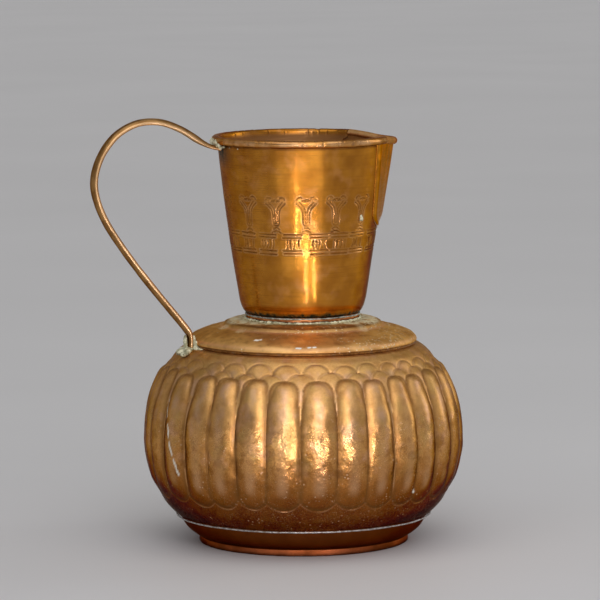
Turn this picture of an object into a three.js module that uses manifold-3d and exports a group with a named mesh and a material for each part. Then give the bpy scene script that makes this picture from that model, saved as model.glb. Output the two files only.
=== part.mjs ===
// Copper water jug: a squat belly on a dished base, a stepped shoulder cap, a bucket-shaped neck
// with a beak spout, and a long loop handle, all raised from sheet copper and soft-soldered.
// Millimetres, +Z up. The origin is on the jug's axis in the plane it stands on. The spout points
// along +X and the handle lies along -X. Nothing on the jug moves.
import * as THREE from "three";
import { mergeVertices } from "three/addons/utils/BufferGeometryUtils.js";
import Module from "manifold-3d";

const wasm = await Module();
wasm.setup();

// Driving dimensions.
const SHEET = 1.1; // thickness of the raised copper sheet
const GAP = 0.3; // clearance between two pieces that touch
const ROUND = 40; // facets round a turned piece
const FOOT_RADIUS = 75.6;
const FOOT_HEIGHT = 4.8;
const FOOT_ROUNDING = 0.6;
const SEAM_RADIUS = 91.7; // where the belly meets the base dish
const SEAM_LEVEL = 21.1;
const BELLY_RADIUS = 115.2;
const BELLY_LEVEL = 76; // height of the widest part
const LIP_RADIUS = 82; // rolled lip of the shoulder cap
const LIP_LEVEL = 146.4;
const STEP_RADIUS = 57; // upper step of the shoulder cap
const STEP_LEVEL = 161;
const THROAT_RADIUS = 38.6; // clear way between the neck and the belly
const NECK_FOOT_RADIUS = 46.2;
const NECK_FOOT_LEVEL = 165.6;
const RIM_RADIUS = 62.2; // centre of the wired rim
const RIM_LEVEL = 290.4;
const BEAD_RADIUS = 2.7;
const WIRE_RADIUS = 1.2;
const SPOUT_FOOT_LEVEL = 226.5;
const SPOUT_ROUNDING = 12.5; // height over which the beak grows out of the neck
const SPOUT_REACH = 4.6; // how far the beak stands out of the neck above that
const SPOUT_REACH_GAIN = 0.048; // extra reach for each millimetre of height
const SPOUT_HALF_WIDTH = 34.5; // half the width of the beak above its rounded bottom
const SPOUT_WIDTH_GAIN = 0.15; // extra half-width for each millimetre of height
const SPOUT_NOSE_RADIUS = 11;
const SPOUT_LAP = 0.07; // radians of beak sheet lapped on each side of the neck
const LIP_REACH = 69; // how far the rod on the beak's edge reaches from the axis
const LIP_DROOP = 3; // how far the tip of that rod hangs under the rim
const LIP_JOINT_ANGLE = THREE.MathUtils.degToRad(38); // where that rod meets the neck's own rim
const HANDLE_WIDTH = 9;
const HANDLE_CROWN = 3.2; // rise of the rounded outer face over the handle's edges
const HANDLE_EDGE = 1.5; // radius of the handle's edges
const HANDLE_STEPS = 60; // facets along the handle
const SEAM_BEAD = 0.8; // radius of the solder left along a seam

const BELLY_COPPER = { color: 0x8a5228, roughness: 0.38, metalness: 1 };
const NECK_COPPER = { color: 0xa8692a, roughness: 0.28, metalness: 1 };
const RED_COPPER = { color: 0xa8603f, roughness: 0.35, metalness: 1 };
const SOLDER = { color: 0x8f9188, roughness: 0.6, metalness: 0.7 };
const VERDIGRIS = { color: 0xb9bfa4, roughness: 0.8, metalness: 0.3 };

const at = (radius, height) => new THREE.Vector2(radius, height);
const spot = (x, y, z) => new THREE.Vector3(x, y, z);

// A closed geometry as a manifold-3d solid with its faces pointing out.
function solid(geometry) {
  const bare = geometry.index ? geometry.toNonIndexed() : geometry.clone();
  bare.deleteAttribute("normal");
  bare.deleteAttribute("uv");
  const merged = mergeVertices(bare, 1e-4);
  const vertProperties = merged.attributes.position.array;
  const triVerts = new Uint32Array(merged.index.array);
  const made = new wasm.Manifold(new wasm.Mesh({ numProp: 3, vertProperties, triVerts }));
  if (made.volume() > 0) return made;
  for (let i = 0; i < triVerts.length; i += 3) {
    [triVerts[i + 1], triVerts[i + 2]] = [triVerts[i + 2], triVerts[i + 1]];
  }
  return new wasm.Manifold(new wasm.Mesh({ numProp: 3, vertProperties, triVerts }));
}

// A named mesh of one solid, in its own finish.
function piece(name, body, finish) {
  const { vertProperties, triVerts } = body.getMesh();
  const geometry = new THREE.BufferGeometry();
  geometry.setAttribute("position", new THREE.BufferAttribute(vertProperties, 3));
  geometry.setIndex(new THREE.BufferAttribute(triVerts, 1));
  geometry.computeVertexNormals();
  const mesh = new THREE.Mesh(geometry, new THREE.MeshStandardMaterial(finish));
  mesh.name = name;
  return mesh;
}

// Points along an arc round a centre, from one angle to another.
function arc(x, y, radius, from, to, steps) {
  return Array.from({ length: steps + 1 }, (_, i) => {
    const angle = from + ((to - from) * i) / steps;
    return at(x + radius * Math.cos(angle), y + radius * Math.sin(angle));
  });
}

// An outline moved sideways, to the left of its direction of travel.
function offset(outline, distance) {
  return outline.map((here, i) => {
    const before = outline[Math.max(i - 1, 0)];
    const after = outline[Math.min(i + 1, outline.length - 1)];
    const along = after.clone().sub(before).normalize();
    return at(here.x - along.y * distance, here.y + along.x * distance);
  });
}

// A profile of (radius, height) points turned round the Z axis.
function turned(profile) {
  return solid(new THREE.LatheGeometry(profile, ROUND).rotateX(Math.PI / 2));
}

// A closed ring whose section is a loop of (radius, height) points.
function turnedRing(loop) {
  return turned([...loop, loop[0]]);
}

// A turned sheet whose outer face follows an outline that climbs from bottom to top.
function turnedSheet(outline) {
  return turnedRing([...outline, ...offset(outline, SHEET).reverse()]);
}

// Everything inside an outline that climbs from bottom to top, grown by the clearance.
function turnedCore(outline) {
  const skin = offset(outline, -GAP);
  return turned([at(0, skin[0].y), ...skin, at(0, skin.at(-1).y)]);
}

// A turned bead of round section.
function bead(radius, level, thickness) {
  const sides = 6;
  return turnedRing(arc(radius, level, thickness, 0, 2 * Math.PI, sides).slice(0, sides));
}

// A bar of one section swept along a smooth line through the given places.
function swept(places, section, steps) {
  const extrudePath = new THREE.CatmullRomCurve3(places, false, "centripetal");
  const settings = { steps, extrudePath, bevelEnabled: false, curveSegments: 2 };
  return solid(new THREE.ExtrudeGeometry(section, settings));
}

function roundSection(radius, sides) {
  return new THREE.Shape(arc(0, 0, radius, 0, 2 * Math.PI, sides).slice(0, sides));
}

// A closed skin over a stack of loops of places that all have the same number of corners.
function lofted(stack) {
  const loops = stack.map((loop) => (THREE.ShapeUtils.isClockWise(loop) ? loop.toReversed() : loop));
  const count = loops[0].length;
  const top = (loops.length - 1) * count;
  const places = loops.flatMap((loop) => loop.flatMap(({ x, y, z }) => [x, y, z]));
  const faces = [];
  for (let ring = 0; ring < top; ring += count) {
    for (let i = 0; i < count; i++) {
      const here = ring + i;
      const next = ring + ((i + 1) % count);
      faces.push(here, next, next + count, here, next + count, here + count);
    }
  }
  for (const [a, b, c] of THREE.ShapeUtils.triangulateShape(loops[0], [])) faces.push(c, b, a);
  for (const [a, b, c] of THREE.ShapeUtils.triangulateShape(loops.at(-1), [])) {
    faces.push(top + a, top + b, top + c);
  }
  const geometry = new THREE.BufferGeometry();
  geometry.setAttribute("position", new THREE.Float32BufferAttribute(places, 3));
  geometry.setIndex(faces);
  return solid(geometry);
}

// A flattened ball of solder.
function lump(centre, alongX, alongY, alongZ) {
  const ball = new THREE.SphereGeometry(1, 14, 9).scale(alongX, alongY, alongZ);
  return solid(ball.translate(centre.x, centre.y, centre.z));
}

// Outer outline of the base dish: inside the foot, out to the seam, then lapped inside the belly.
function dishOutline() {
  const foot = FOOT_RADIUS - SHEET - GAP;
  const side = new THREE.CubicBezierCurve(
    at(FOOT_RADIUS + FOOT_ROUNDING, FOOT_HEIGHT + FOOT_ROUNDING),
    at(84, 9),
    at(87.2, 14),
    at(SEAM_RADIUS - 2.4, SEAM_LEVEL - 1),
  );
  const lap = at(SEAM_RADIUS + 1.4, SEAM_LEVEL + 4.6);
  return [at(foot, SHEET + GAP), at(foot, FOOT_HEIGHT), ...side.getPoints(4), lap];
}

// Outer outline of the belly, from the seam to the shelf under the shoulder cap.
function bellyOutline() {
  const lower = new THREE.CubicBezierCurve(
    at(SEAM_RADIUS, SEAM_LEVEL),
    at(103, 31),
    at(BELLY_RADIUS, 47),
    at(BELLY_RADIUS, BELLY_LEVEL),
  );
  const upper = new THREE.CubicBezierCurve(
    at(BELLY_RADIUS, BELLY_LEVEL),
    at(BELLY_RADIUS, 108),
    at(104, 131),
    at(LIP_RADIUS + 2.4, LIP_LEVEL - 3.5),
  );
  const shelf = at(LIP_RADIUS - 5.5, LIP_LEVEL - 2.6);
  return [...lower.getPoints(5), ...upper.getPoints(6).slice(1), shelf];
}

// Outer outline of the shoulder cap: lip, slope, step and the flat that the collar stands on.
function capOutline() {
  return [
    at(LIP_RADIUS - 1.4, LIP_LEVEL - 1.9),
    at(LIP_RADIUS - 0.3, LIP_LEVEL - 1.4),
    at(LIP_RADIUS, LIP_LEVEL),
    at(LIP_RADIUS - 1.2, LIP_LEVEL + 2.2),
    at(LIP_RADIUS - 4.5, LIP_LEVEL + 4.4),
    at(LIP_RADIUS - 14, LIP_LEVEL + 7.8),
    at(STEP_RADIUS + 2.4, LIP_LEVEL + 9.6),
    at(STEP_RADIUS + 0.4, LIP_LEVEL + 10.6),
    at(STEP_RADIUS - 1, STEP_LEVEL - 2.2),
    at(STEP_RADIUS - 6, STEP_LEVEL - 0.5),
    at(STEP_RADIUS - 11, STEP_LEVEL),
    at(THROAT_RADIUS, STEP_LEVEL),
  ];
}

// Outer outline of the neck, from its foot over the rounded corner and up the tapered wall.
function neckOutline() {
  const corner = new THREE.QuadraticBezierCurve(
    at(THROAT_RADIUS + 2, NECK_FOOT_LEVEL),
    at(NECK_FOOT_RADIUS - 1.7, NECK_FOOT_LEVEL + 2.6),
    at(NECK_FOOT_RADIUS, NECK_FOOT_LEVEL + 14),
  );
  const wall = new THREE.QuadraticBezierCurve(
    at(NECK_FOOT_RADIUS, NECK_FOOT_LEVEL + 14),
    at(55.2, 234),
    at(RIM_RADIUS - BEAD_RADIUS + SHEET, RIM_LEVEL - BEAD_RADIUS),
  );
  return [at(THROAT_RADIUS, NECK_FOOT_LEVEL), ...corner.getPoints(4), ...wall.getPoints(6).slice(1)];
}

// Outer radius of the neck at a height, read off its outline.
function neckRadius(level) {
  const outline = neckOutline();
  const above = outline.findIndex((corner) => corner.y > level);
  const low = outline[above - 1];
  const high = outline[above];
  return THREE.MathUtils.mapLinear(level, low.y, high.y, low.x, high.x);
}

// Share of the beak's full size at a height: nothing at its rounded bottom, all of it above.
function beakGrowth(level) {
  const missing = Math.max(0, 1 - (level - SPOUT_FOOT_LEVEL) / SPOUT_ROUNDING);
  return Math.sqrt(1 - missing * missing);
}

// Heights of the beak's sections: close together where it grows out of the neck.
function beakLevels() {
  const top = RIM_LEVEL - BEAD_RADIUS - GAP;
  const shoulder = SPOUT_FOOT_LEVEL + SPOUT_ROUNDING;
  const growing = arc(0, shoulder, SPOUT_ROUNDING, -0.46 * Math.PI, 0, 5).map((corner) => corner.y);
  const straight = [0.3, 0.65, 1].map((share) => THREE.MathUtils.lerp(shoulder, top, share));
  return [...growing, ...straight];
}

// The beak's measures at a height: the circle it sits on, its joints, and its nose.
function beakPlan(level) {
  const circle = neckRadius(level) + GAP + SHEET;
  const raised = Math.max(0, level - SPOUT_FOOT_LEVEL - SPOUT_ROUNDING);
  const growth = beakGrowth(level);
  const half = (SPOUT_HALF_WIDTH + SPOUT_WIDTH_GAIN * raised) * growth;
  const reach = (SPOUT_REACH + SPOUT_REACH_GAIN * raised) * growth;
  const noseRadius = Math.max(SHEET + GAP, SPOUT_NOSE_RADIUS * growth);
  return { circle, joint: Math.asin(half / circle), tip: circle + reach, noseRadius };
}

// Angle at which a straight side that starts on a circle meets the round nose.
function noseAngle({ circle, joint, tip, noseRadius }) {
  const across = circle * Math.sin(joint);
  const along = circle * Math.cos(joint) - (tip - noseRadius);
  return Math.atan2(across, along) - Math.acos(noseRadius / Math.hypot(along, across));
}

// How far a place near the spout's axis hangs under the level of the rim.
function droop(x) {
  const start = RIM_RADIUS * Math.cos(LIP_JOINT_ANGLE);
  return LIP_DROOP * THREE.MathUtils.smoothstep(x, start, LIP_REACH);
}

// One face of the beak's sheet in plan, at a depth into the sheet: lap, side, nose, side, lap.
function beakFace(plan, depth) {
  const meeting = noseAngle(plan);
  const between = (plan.joint + meeting) / 2;
  const circle = plan.circle - depth;
  const corner = at(plan.circle * Math.cos(plan.joint), plan.circle * Math.sin(plan.joint));
  corner.sub(at(depth * Math.cos(between), depth * Math.sin(between)));
  const lap = plan.joint + SPOUT_LAP;
  const edge = at(circle * Math.cos(lap), circle * Math.sin(lap));
  const nose = arc(plan.tip - plan.noseRadius, 0, plan.noseRadius - depth, meeting, -meeting, 6);
  return [edge, corner, ...nose, at(corner.x, -corner.y), at(edge.x, -edge.y)];
}

// A section of the beak; the whole section sinks towards the drooping tip of its top edge.
function beakSection(level) {
  const plan = beakPlan(level);
  const top = beakLevels().at(-1);
  const sinking = THREE.MathUtils.inverseLerp(SPOUT_FOOT_LEVEL, top, level);
  const loop = [...beakFace(plan, 0), ...beakFace(plan, SHEET).reverse()];
  return loop.map(({ x, y }) => spot(x, y, level - droop(x) * sinking));
}

function handleSection() {
  const half = HANDLE_WIDTH / 2;
  const corner = half - HANDLE_EDGE;
  const section = new THREE.Shape();
  section.moveTo(corner, -2 * HANDLE_EDGE);
  section.absarc(corner, -HANDLE_EDGE, HANDLE_EDGE, -Math.PI / 2, 0, false);
  section.absellipse(0, -HANDLE_EDGE, half, HANDLE_CROWN, 0, Math.PI, false);
  section.absarc(-corner, -HANDLE_EDGE, HANDLE_EDGE, Math.PI, 1.5 * Math.PI, false);
  section.closePath();
  return section;
}

// Middle line of the handle, from its foot on the belly round the loop to the rim.
function handlePlaces() {
  return [
    spot(-85.6, 0, 143.6),
    spot(-85.6, 0, 150),
    spot(-87.2, 0, 154.3),
    spot(-96.2, 0, 165.8),
    spot(-118, 0, 192.8),
    spot(-137.4, 0, 219.3),
    spot(-150.1, 0, 241.1),
    spot(-155.4, 0, 262),
    spot(-151.4, 0, 279.4),
    spot(-139.4, 0, 296),
    spot(-122.4, 0, 305),
    spot(-104, 0, 305),
    spot(-87.2, 0, 298.3),
    spot(-74.3, 0, 289.6),
    spot(-67, 0, 285.5),
    spot(-61.4, 0, 283.6),
  ];
}

function handleBar() {
  return swept(handlePlaces(), handleSection(), HANDLE_STEPS);
}

// The room that the handle and its clearance take out of the solder round its ends.
function handleRoom() {
  const middle = at(0, -HANDLE_EDGE);
  const thickness = HANDLE_CROWN + HANDLE_EDGE;
  const scale = 1 + (2 * GAP) / thickness;
  const outline = handleSection().extractPoints(2).shape;
  const grown = outline.map((corner) => corner.sub(middle).multiplyScalar(scale).add(middle));
  return swept(handlePlaces(), new THREE.Shape(grown), HANDLE_STEPS);
}

// Bottom plate: the flat disc that the jug stands on.
function bottomPlate() {
  const radius = FOOT_RADIUS - SHEET - GAP;
  return turned([at(0, 0), at(radius, 0), at(radius, SHEET), at(0, SHEET)]);
}

// Foot band: the hoop round the bottom plate and the foot of the dish, its lower edge rounded off.
function footBand() {
  const inner = FOOT_RADIUS - SHEET;
  return turnedRing([
    at(inner, 0),
    at(FOOT_RADIUS - FOOT_ROUNDING, 0),
    at(FOOT_RADIUS, FOOT_ROUNDING),
    at(FOOT_RADIUS, FOOT_HEIGHT),
    at(inner, FOOT_HEIGHT),
  ]);
}

// Collar: the short band between the shoulder cap and the neck.
function neckCollar() {
  const low = STEP_LEVEL + GAP;
  const high = NECK_FOOT_LEVEL - GAP;
  return turnedSheet([
    at(THROAT_RADIUS + SHEET, low),
    at(THROAT_RADIUS + SHEET + 0.7, (low + high) / 2),
    at(THROAT_RADIUS + SHEET, high),
  ]);
}

// A sector round the spout's axis that holds the rod on the beak's edge.
function lipSector() {
  const far = 2 * RIM_RADIUS;
  const across = far * Math.tan(LIP_JOINT_ANGLE);
  const sector = new THREE.Shape([at(0, 0), at(far, across), at(far, -across)]);
  const wedge = new THREE.ExtrudeGeometry(sector, { depth: 4 * BEAD_RADIUS, bevelEnabled: false });
  return solid(wedge.translate(0, 0, RIM_LEVEL - BEAD_RADIUS - GAP));
}

// The opening in the neck wall behind the beak, a sector at every height.
function beakOpening() {
  const near = RIM_RADIUS / 3;
  const far = 2 * RIM_RADIUS;
  const levels = beakLevels();
  const top = levels.at(-1);
  const stack = [...levels.slice(1), RIM_LEVEL + 2 * BEAD_RADIUS].map((level) => {
    const { joint } = beakPlan(Math.min(level, top));
    const slope = Math.tan(joint - GAP / NECK_FOOT_RADIUS);
    const [small, large] = [near * slope, far * slope];
    return [
      spot(near, -small, level),
      spot(far, -large, level),
      spot(far, large, level),
      spot(near, small, level),
    ];
  });
  return lofted(stack);
}

// Neck: the tapered cup, its top edge rolled outwards over the rim wire and cut open at the beak.
function neckCup() {
  const outline = neckOutline();
  const end = -0.6 * Math.PI;
  const bore = arc(RIM_RADIUS, RIM_LEVEL, BEAD_RADIUS - SHEET, Math.PI, end, 7);
  const roll = arc(RIM_RADIUS, RIM_LEVEL, BEAD_RADIUS, end, Math.PI, 9);
  const inside = offset(outline, SHEET).reverse();
  const whole = turnedRing([...outline, ...bore, ...roll, ...inside]);
  return whole.subtract(beakOpening()).subtract(lipSector());
}

function rimWire() {
  return bead(RIM_RADIUS, RIM_LEVEL, WIRE_RADIUS).subtract(lipSector());
}

function spoutBeak() {
  return lofted(beakLevels().map(beakSection));
}

// Rod along the beak's top edge, from one end of the neck's rim to the other.
function spoutLip() {
  const joint = LIP_JOINT_ANGLE - (1.5 * GAP) / RIM_RADIUS;
  const plan = { circle: RIM_RADIUS, joint, tip: LIP_REACH, noseRadius: SPOUT_NOSE_RADIUS };
  const [, corner, ...rest] = beakFace(plan, 0);
  const places = [corner, ...rest.slice(0, -1)].map(({ x, y }) => spot(x, y, RIM_LEVEL - droop(x)));
  return swept(places, roundSection(BEAD_RADIUS, 10), 26);
}

// Solder run along the lapped edge of the beak, down one side and up the other.
function beakSolder() {
  const radius = 0.6;
  const clear = GAP + radius;
  const under = 1.6 * clear;
  const side = (way) => (level) => {
    const low = level - under * Math.sqrt(1 - beakGrowth(level) ** 2);
    const out = neckRadius(low) + clear;
    const turn = way * (beakPlan(level).joint + SPOUT_LAP + clear / out);
    return spot(out * Math.cos(turn), out * Math.sin(turn), low);
  };
  const levels = beakLevels().slice(1);
  const bottom = spot(neckRadius(SPOUT_FOOT_LEVEL) + clear, 0, SPOUT_FOOT_LEVEL - under);
  const places = [...levels.toReversed().map(side(1)), bottom, ...levels.map(side(-1))];
  return swept(places, roundSection(radius, 6), 48);
}

// Solder round the handle's foot, filling the corner between the belly and the cap's lip.
function handleFootSolder() {
  const [foot] = handlePlaces();
  return lump(spot(foot.x - 0.6, 0, foot.z - 1), 6.2, 13, 5.4)
    .subtract(turnedCore(bellyOutline()))
    .subtract(turnedCore(capOutline()))
    .subtract(handleRoom());
}

// Solder round the handle's top end, under the rolled rim.
function handleTopSolder() {
  const end = handlePlaces().at(-1);
  const rim = bead(RIM_RADIUS, RIM_LEVEL, BEAD_RADIUS + 2 * GAP);
  return lump(spot(end.x - 1.4, 0, end.z - 0.8), 4.8, 7.6, 4.2)
    .subtract(turnedCore(neckOutline()))
    .subtract(rim)
    .subtract(handleRoom());
}

// A blob of solder that closes a pinhole in the neck.
function pinholeSolder() {
  const level = 235.8;
  const turn = THREE.MathUtils.degToRad(-58.4);
  const out = neckRadius(level);
  const centre = spot(out * Math.cos(turn), out * Math.sin(turn), level);
  return lump(centre, 1.6, 1.6, 1.9).subtract(turnedCore(neckOutline()));
}

const jug = new THREE.Group();
jug.add(
  piece("bottom_plate", bottomPlate(), RED_COPPER),
  piece("foot_band", footBand(), RED_COPPER),
  piece("foot_solder", bead(FOOT_RADIUS - 2 * SHEET - GAP - 1.3, SHEET + 1.3, SEAM_BEAD), SOLDER),
  piece("base_dish", turnedSheet(dishOutline()), BELLY_COPPER),
  piece("belly_seam_solder", bead(SEAM_RADIUS - 0.2, SEAM_LEVEL - 1.4, SEAM_BEAD), SOLDER),
  piece("belly_bowl", turnedSheet(bellyOutline()), BELLY_COPPER),
  piece("shoulder_solder", bead(LIP_RADIUS - 3.6, LIP_LEVEL - 0.9, SEAM_BEAD), SOLDER),
  piece("shoulder_cap", turnedSheet(capOutline()), BELLY_COPPER),
  piece("collar_solder", bead(THROAT_RADIUS + SHEET + 2.1, STEP_LEVEL + 1.2, SEAM_BEAD), VERDIGRIS),
  piece("neck_collar", neckCollar(), RED_COPPER),
  piece("neck_solder", bead(THROAT_RADIUS + SHEET + 2.4, NECK_FOOT_LEVEL - 1.3, SEAM_BEAD), SOLDER),
  piece("neck_cup", neckCup(), NECK_COPPER),
  piece("rim_wire", rimWire(), SOLDER),
  piece("spout_beak", spoutBeak(), NECK_COPPER),
  piece("spout_lip", spoutLip(), RED_COPPER),
  piece("spout_solder", beakSolder(), SOLDER),
  piece("pinhole_solder", pinholeSolder(), VERDIGRIS),
  piece("handle_bar", handleBar(), BELLY_COPPER),
  piece("handle_foot_solder", handleFootSolder(), VERDIGRIS),
  piece("handle_top_solder", handleTopSolder(), VERDIGRIS),
);

export default jug;
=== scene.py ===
import math

import bmesh
import bpy
import numpy as np
from mathutils import Matrix, Vector


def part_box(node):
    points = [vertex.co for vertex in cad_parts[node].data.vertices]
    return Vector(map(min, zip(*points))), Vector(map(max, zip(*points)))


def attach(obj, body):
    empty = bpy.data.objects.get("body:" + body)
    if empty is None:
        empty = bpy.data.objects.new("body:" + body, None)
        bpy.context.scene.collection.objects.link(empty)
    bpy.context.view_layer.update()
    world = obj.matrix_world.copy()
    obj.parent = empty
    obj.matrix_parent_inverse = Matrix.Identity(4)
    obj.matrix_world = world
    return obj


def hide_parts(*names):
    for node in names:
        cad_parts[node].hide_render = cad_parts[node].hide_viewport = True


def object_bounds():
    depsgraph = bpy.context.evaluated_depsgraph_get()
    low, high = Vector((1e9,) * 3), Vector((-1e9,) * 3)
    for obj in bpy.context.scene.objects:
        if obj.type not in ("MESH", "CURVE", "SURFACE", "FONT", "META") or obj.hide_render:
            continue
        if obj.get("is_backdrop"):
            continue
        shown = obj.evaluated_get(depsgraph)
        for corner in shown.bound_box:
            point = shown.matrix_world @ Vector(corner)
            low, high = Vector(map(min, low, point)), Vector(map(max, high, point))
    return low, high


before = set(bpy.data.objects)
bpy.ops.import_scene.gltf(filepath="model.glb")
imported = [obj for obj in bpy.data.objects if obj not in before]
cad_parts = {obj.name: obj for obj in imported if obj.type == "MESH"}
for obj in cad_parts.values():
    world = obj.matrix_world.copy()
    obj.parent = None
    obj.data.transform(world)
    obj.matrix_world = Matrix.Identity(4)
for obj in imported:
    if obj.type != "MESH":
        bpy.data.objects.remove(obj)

# The looks of a copper water jug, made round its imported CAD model. Shapes are worked out in
# millimetres, with +Z up, the spout along +X and the handle along -X, and turned to metres when a
# mesh is made. An angle is counted in degrees from +X towards +Y; "length" is the way along a
# turned piece's outline.
MM = 0.001
CAD_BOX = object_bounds()


def box(node):
    """Lowest and highest corner of a CAD node, in millimetres."""
    low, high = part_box(node)
    return np.array(low) / MM, np.array(high) / MM


def middle_level(node):
    low, high = box(node)
    return (low[2] + high[2]) / 2


# Places read from the frame.
FOOT_RADIUS, _, FOOT_HEIGHT = box("foot_band")[1]
BELLY_RADIUS = box("belly_bowl")[1][0]
SEAM_LEVEL = box("belly_bowl")[0][2]
SHELF_LEVEL = box("belly_bowl")[1][2]
LIP_RADIUS, _, STEP_LEVEL = box("shoulder_cap")[1]
NECK_FOOT_LEVEL = box("neck_cup")[0][2]
RIM_LEVEL = middle_level("rim_wire")

# Sizes that the frame's boxes don't give.
SHEET = 1.1
GAP = 0.3
SEAM_RADIUS = 91.7
LIP_LEVEL = SHELF_LEVEL + 2.6
STEP_RADIUS = 57
THROAT_RADIUS = 38.6
NECK_FOOT_RADIUS = 46.2
RIM_RADIUS = 62.2
BEAD_RADIUS = 2.7
WIRE_BORE = 1.6
SPOUT_FOOT_LEVEL = 226.5
SPOUT_ROUNDING = 12.5
SPOUT_NOSE_RADIUS = 11
SPOUT_LAP = 0.07
LIP_REACH = 69
LIP_DROOP = 3
LIP_JOINT = math.radians(38)

COLUMNS = 720  # facets round a turned piece
TURN = np.arange(COLUMNS) * 360 / COLUMNS
FRONT = -108  # angle of the side that faces the camera
FAR = 99.0  # further from a chased line than its marks reach


# ---- curves and noise


def bezier(points, count):
    """Points along a Bezier curve of any order."""
    order = len(points) - 1
    t = np.linspace(0, 1, count)[:, None]
    weights = [math.comb(order, i) * (1 - t) ** (order - i) * t**i for i in range(order + 1)]
    return sum(weight * np.array(point) for weight, point in zip(weights, points))


def arc(centre, radius, start, end, count):
    """Points along an arc, from one angle to another, in radians."""
    turn = np.linspace(start, end, count)
    return np.array(centre) + radius * np.stack([np.cos(turn), np.sin(turn)], 1)


def circle(radius, count):
    return arc((0, 0), radius, 0, 2 * math.pi, count + 1)[:-1]


def joined(*curves):
    """Curves put end to end, without the doubled points."""
    points = np.vstack(curves)
    apart = np.hypot(*np.diff(points, axis=0).T) > 1e-6
    return points[np.r_[True, apart]]


def lengths_of(points):
    return np.r_[0, np.cumsum(np.linalg.norm(np.diff(points, axis=0), axis=1))]


def along(points, wanted):
    """The places at the wanted lengths along a line of points."""
    have = lengths_of(points)
    return np.stack([np.interp(wanted, have, column) for column in points.T], -1)


def evenly(points, count):
    return along(points, np.linspace(0, lengths_of(points)[-1], count))


def spaced(spans, end):
    """Values up to the end, evenly divided over spans that are given as (start, count)."""
    starts = [start for start, _ in spans] + [end]
    parts = [np.linspace(a, b, n, endpoint=False) for a, b, (_, n) in zip(starts, starts[1:], spans)]
    return np.r_[np.concatenate(parts), end]


def smooth_line(places, per_span):
    """A centripetal Catmull-Rom line through places."""
    places = np.array(places, float)
    padded = np.vstack([2 * places[0] - places[1], places, 2 * places[-1] - places[-2]])
    line = []
    for four in zip(padded, padded[1:], padded[2:], padded[3:]):
        knots = np.r_[0, np.cumsum(np.linalg.norm(np.diff(four, axis=0), axis=1) ** 0.5)]
        for t in np.linspace(knots[1], knots[2], per_span, endpoint=False):
            layer = four
            for reach in (1, 2, 3):
                layer = [
                    (p * (knots[i + reach] - t) + q * (t - knots[i])) / (knots[i + reach] - knots[i])
                    for i, (p, q) in enumerate(zip(layer, layer[1:]))
                ]
            line.append(layer[0])
    return np.array(line + [places[-1]])


def outward(points):
    """Unit normals on the outer side of an outline that climbs."""
    step = np.gradient(points, axis=0)
    normal = np.stack([step[:, 1], -step[:, 0]], 1)
    return normal / np.linalg.norm(normal, axis=1)[:, None]


def ease(value, low, high):
    t = np.clip((value - low) / (high - low), 0, 1)
    return t * t * (3 - 2 * t)


def bell(value, width):
    """A smooth hump, 1 at 0 and faded out at about twice the width."""
    return np.exp(-((value / width) ** 2))


def ripples(seed, turn, height, round_cells, cell_height):
    """Smooth seeded noise from -1 to 1 over angle and height; it closes on itself round the jug."""
    rows = 64
    grid = np.random.default_rng(seed).uniform(-1, 1, (rows, round_cells))
    u, v = np.broadcast_arrays(np.asarray(turn) / 360 * round_cells, np.asarray(height) / cell_height)
    i, j = np.floor(u).astype(int), np.floor(v).astype(int)
    a, b = ease(u - i, 0, 1), ease(v - j, 0, 1)
    i0, i1, j0, j1 = i % round_cells, (i + 1) % round_cells, j % rows, (j + 1) % rows
    low = grid[j0, i0] * (1 - a) + grid[j0, i1] * a
    high = grid[j1, i0] * (1 - a) + grid[j1, i1] * a
    return low * (1 - b) + high * b


def nearest(angle, centre):
    """Signed angle from a centre, from -180 to 180 degrees."""
    return (angle - centre + 180) % 360 - 180


def from_stroke(a, b, da, db):
    """Distance from a stroke that runs from (0, 0) to (da, db), and the share of it gone by there."""
    share = np.clip((a * da + b * db) / (da * da + db * db + 1e-9), 0, 1)
    return np.hypot(a - share * da, b - share * db), share


def round_axis(radius, turn, level):
    """Places at distances from the jug's axis, at angles round it and at levels."""
    angle = np.radians(turn)
    return np.stack(np.broadcast_arrays(radius * np.cos(angle), radius * np.sin(angle), level), -1)


def revolve(outline, push=0.0):
    """Rings of an outline round the axis, with its points pushed along their outward normals."""
    push = np.broadcast_to(push, (len(outline), COLUMNS))[..., None]
    flat = outline[:, None] + outward(outline)[:, None] * push
    return round_axis(flat[..., 0], TURN, flat[..., 1])


# ---- meshes


def grid_faces(rows, cols, first=0, wrap_rows=False, wrap_cols=True):
    i = np.arange(rows if wrap_rows else rows - 1)[:, None]
    j = np.arange(cols if wrap_cols else cols - 1)[None, :]
    i2, j2 = (i + 1) % rows, (j + 1) % cols
    corners = [i * cols + j, i * cols + j2, i2 * cols + j2, i2 * cols + j]
    return (first + np.stack(corners, -1).reshape(-1, 4)).tolist()


def new_object(name, data):
    made = bpy.data.objects.new(name, data)
    bpy.context.scene.collection.objects.link(made)
    return made


def add_piece(name, vertices, faces, nodes, slot, material, marks=None, sharp=35, weld=0):
    """One visible piece from vertices in millimetres; marks are values painted on its vertices."""
    mesh = bpy.data.meshes.new(name)
    mesh.from_pydata((np.asarray(vertices) * MM).tolist(), [], faces)
    for mark, values in (marks or {}).items():
        layer = mesh.attributes.new(mark, "FLOAT", "POINT")
        layer.data.foreach_set("value", np.asarray(values, np.float32).ravel())
    work = bmesh.new()
    work.from_mesh(mesh)
    if weld:
        bmesh.ops.remove_doubles(work, verts=work.verts, dist=weld * MM)
    bmesh.ops.recalc_face_normals(work, faces=work.faces)
    work.to_mesh(mesh)
    work.free()
    mesh.shade_smooth()
    mesh.set_sharp_from_angle(angle=math.radians(sharp))
    mesh.materials.append(material)
    piece = new_object(name, mesh)
    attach(piece, "root")
    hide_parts(*nodes)


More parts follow.
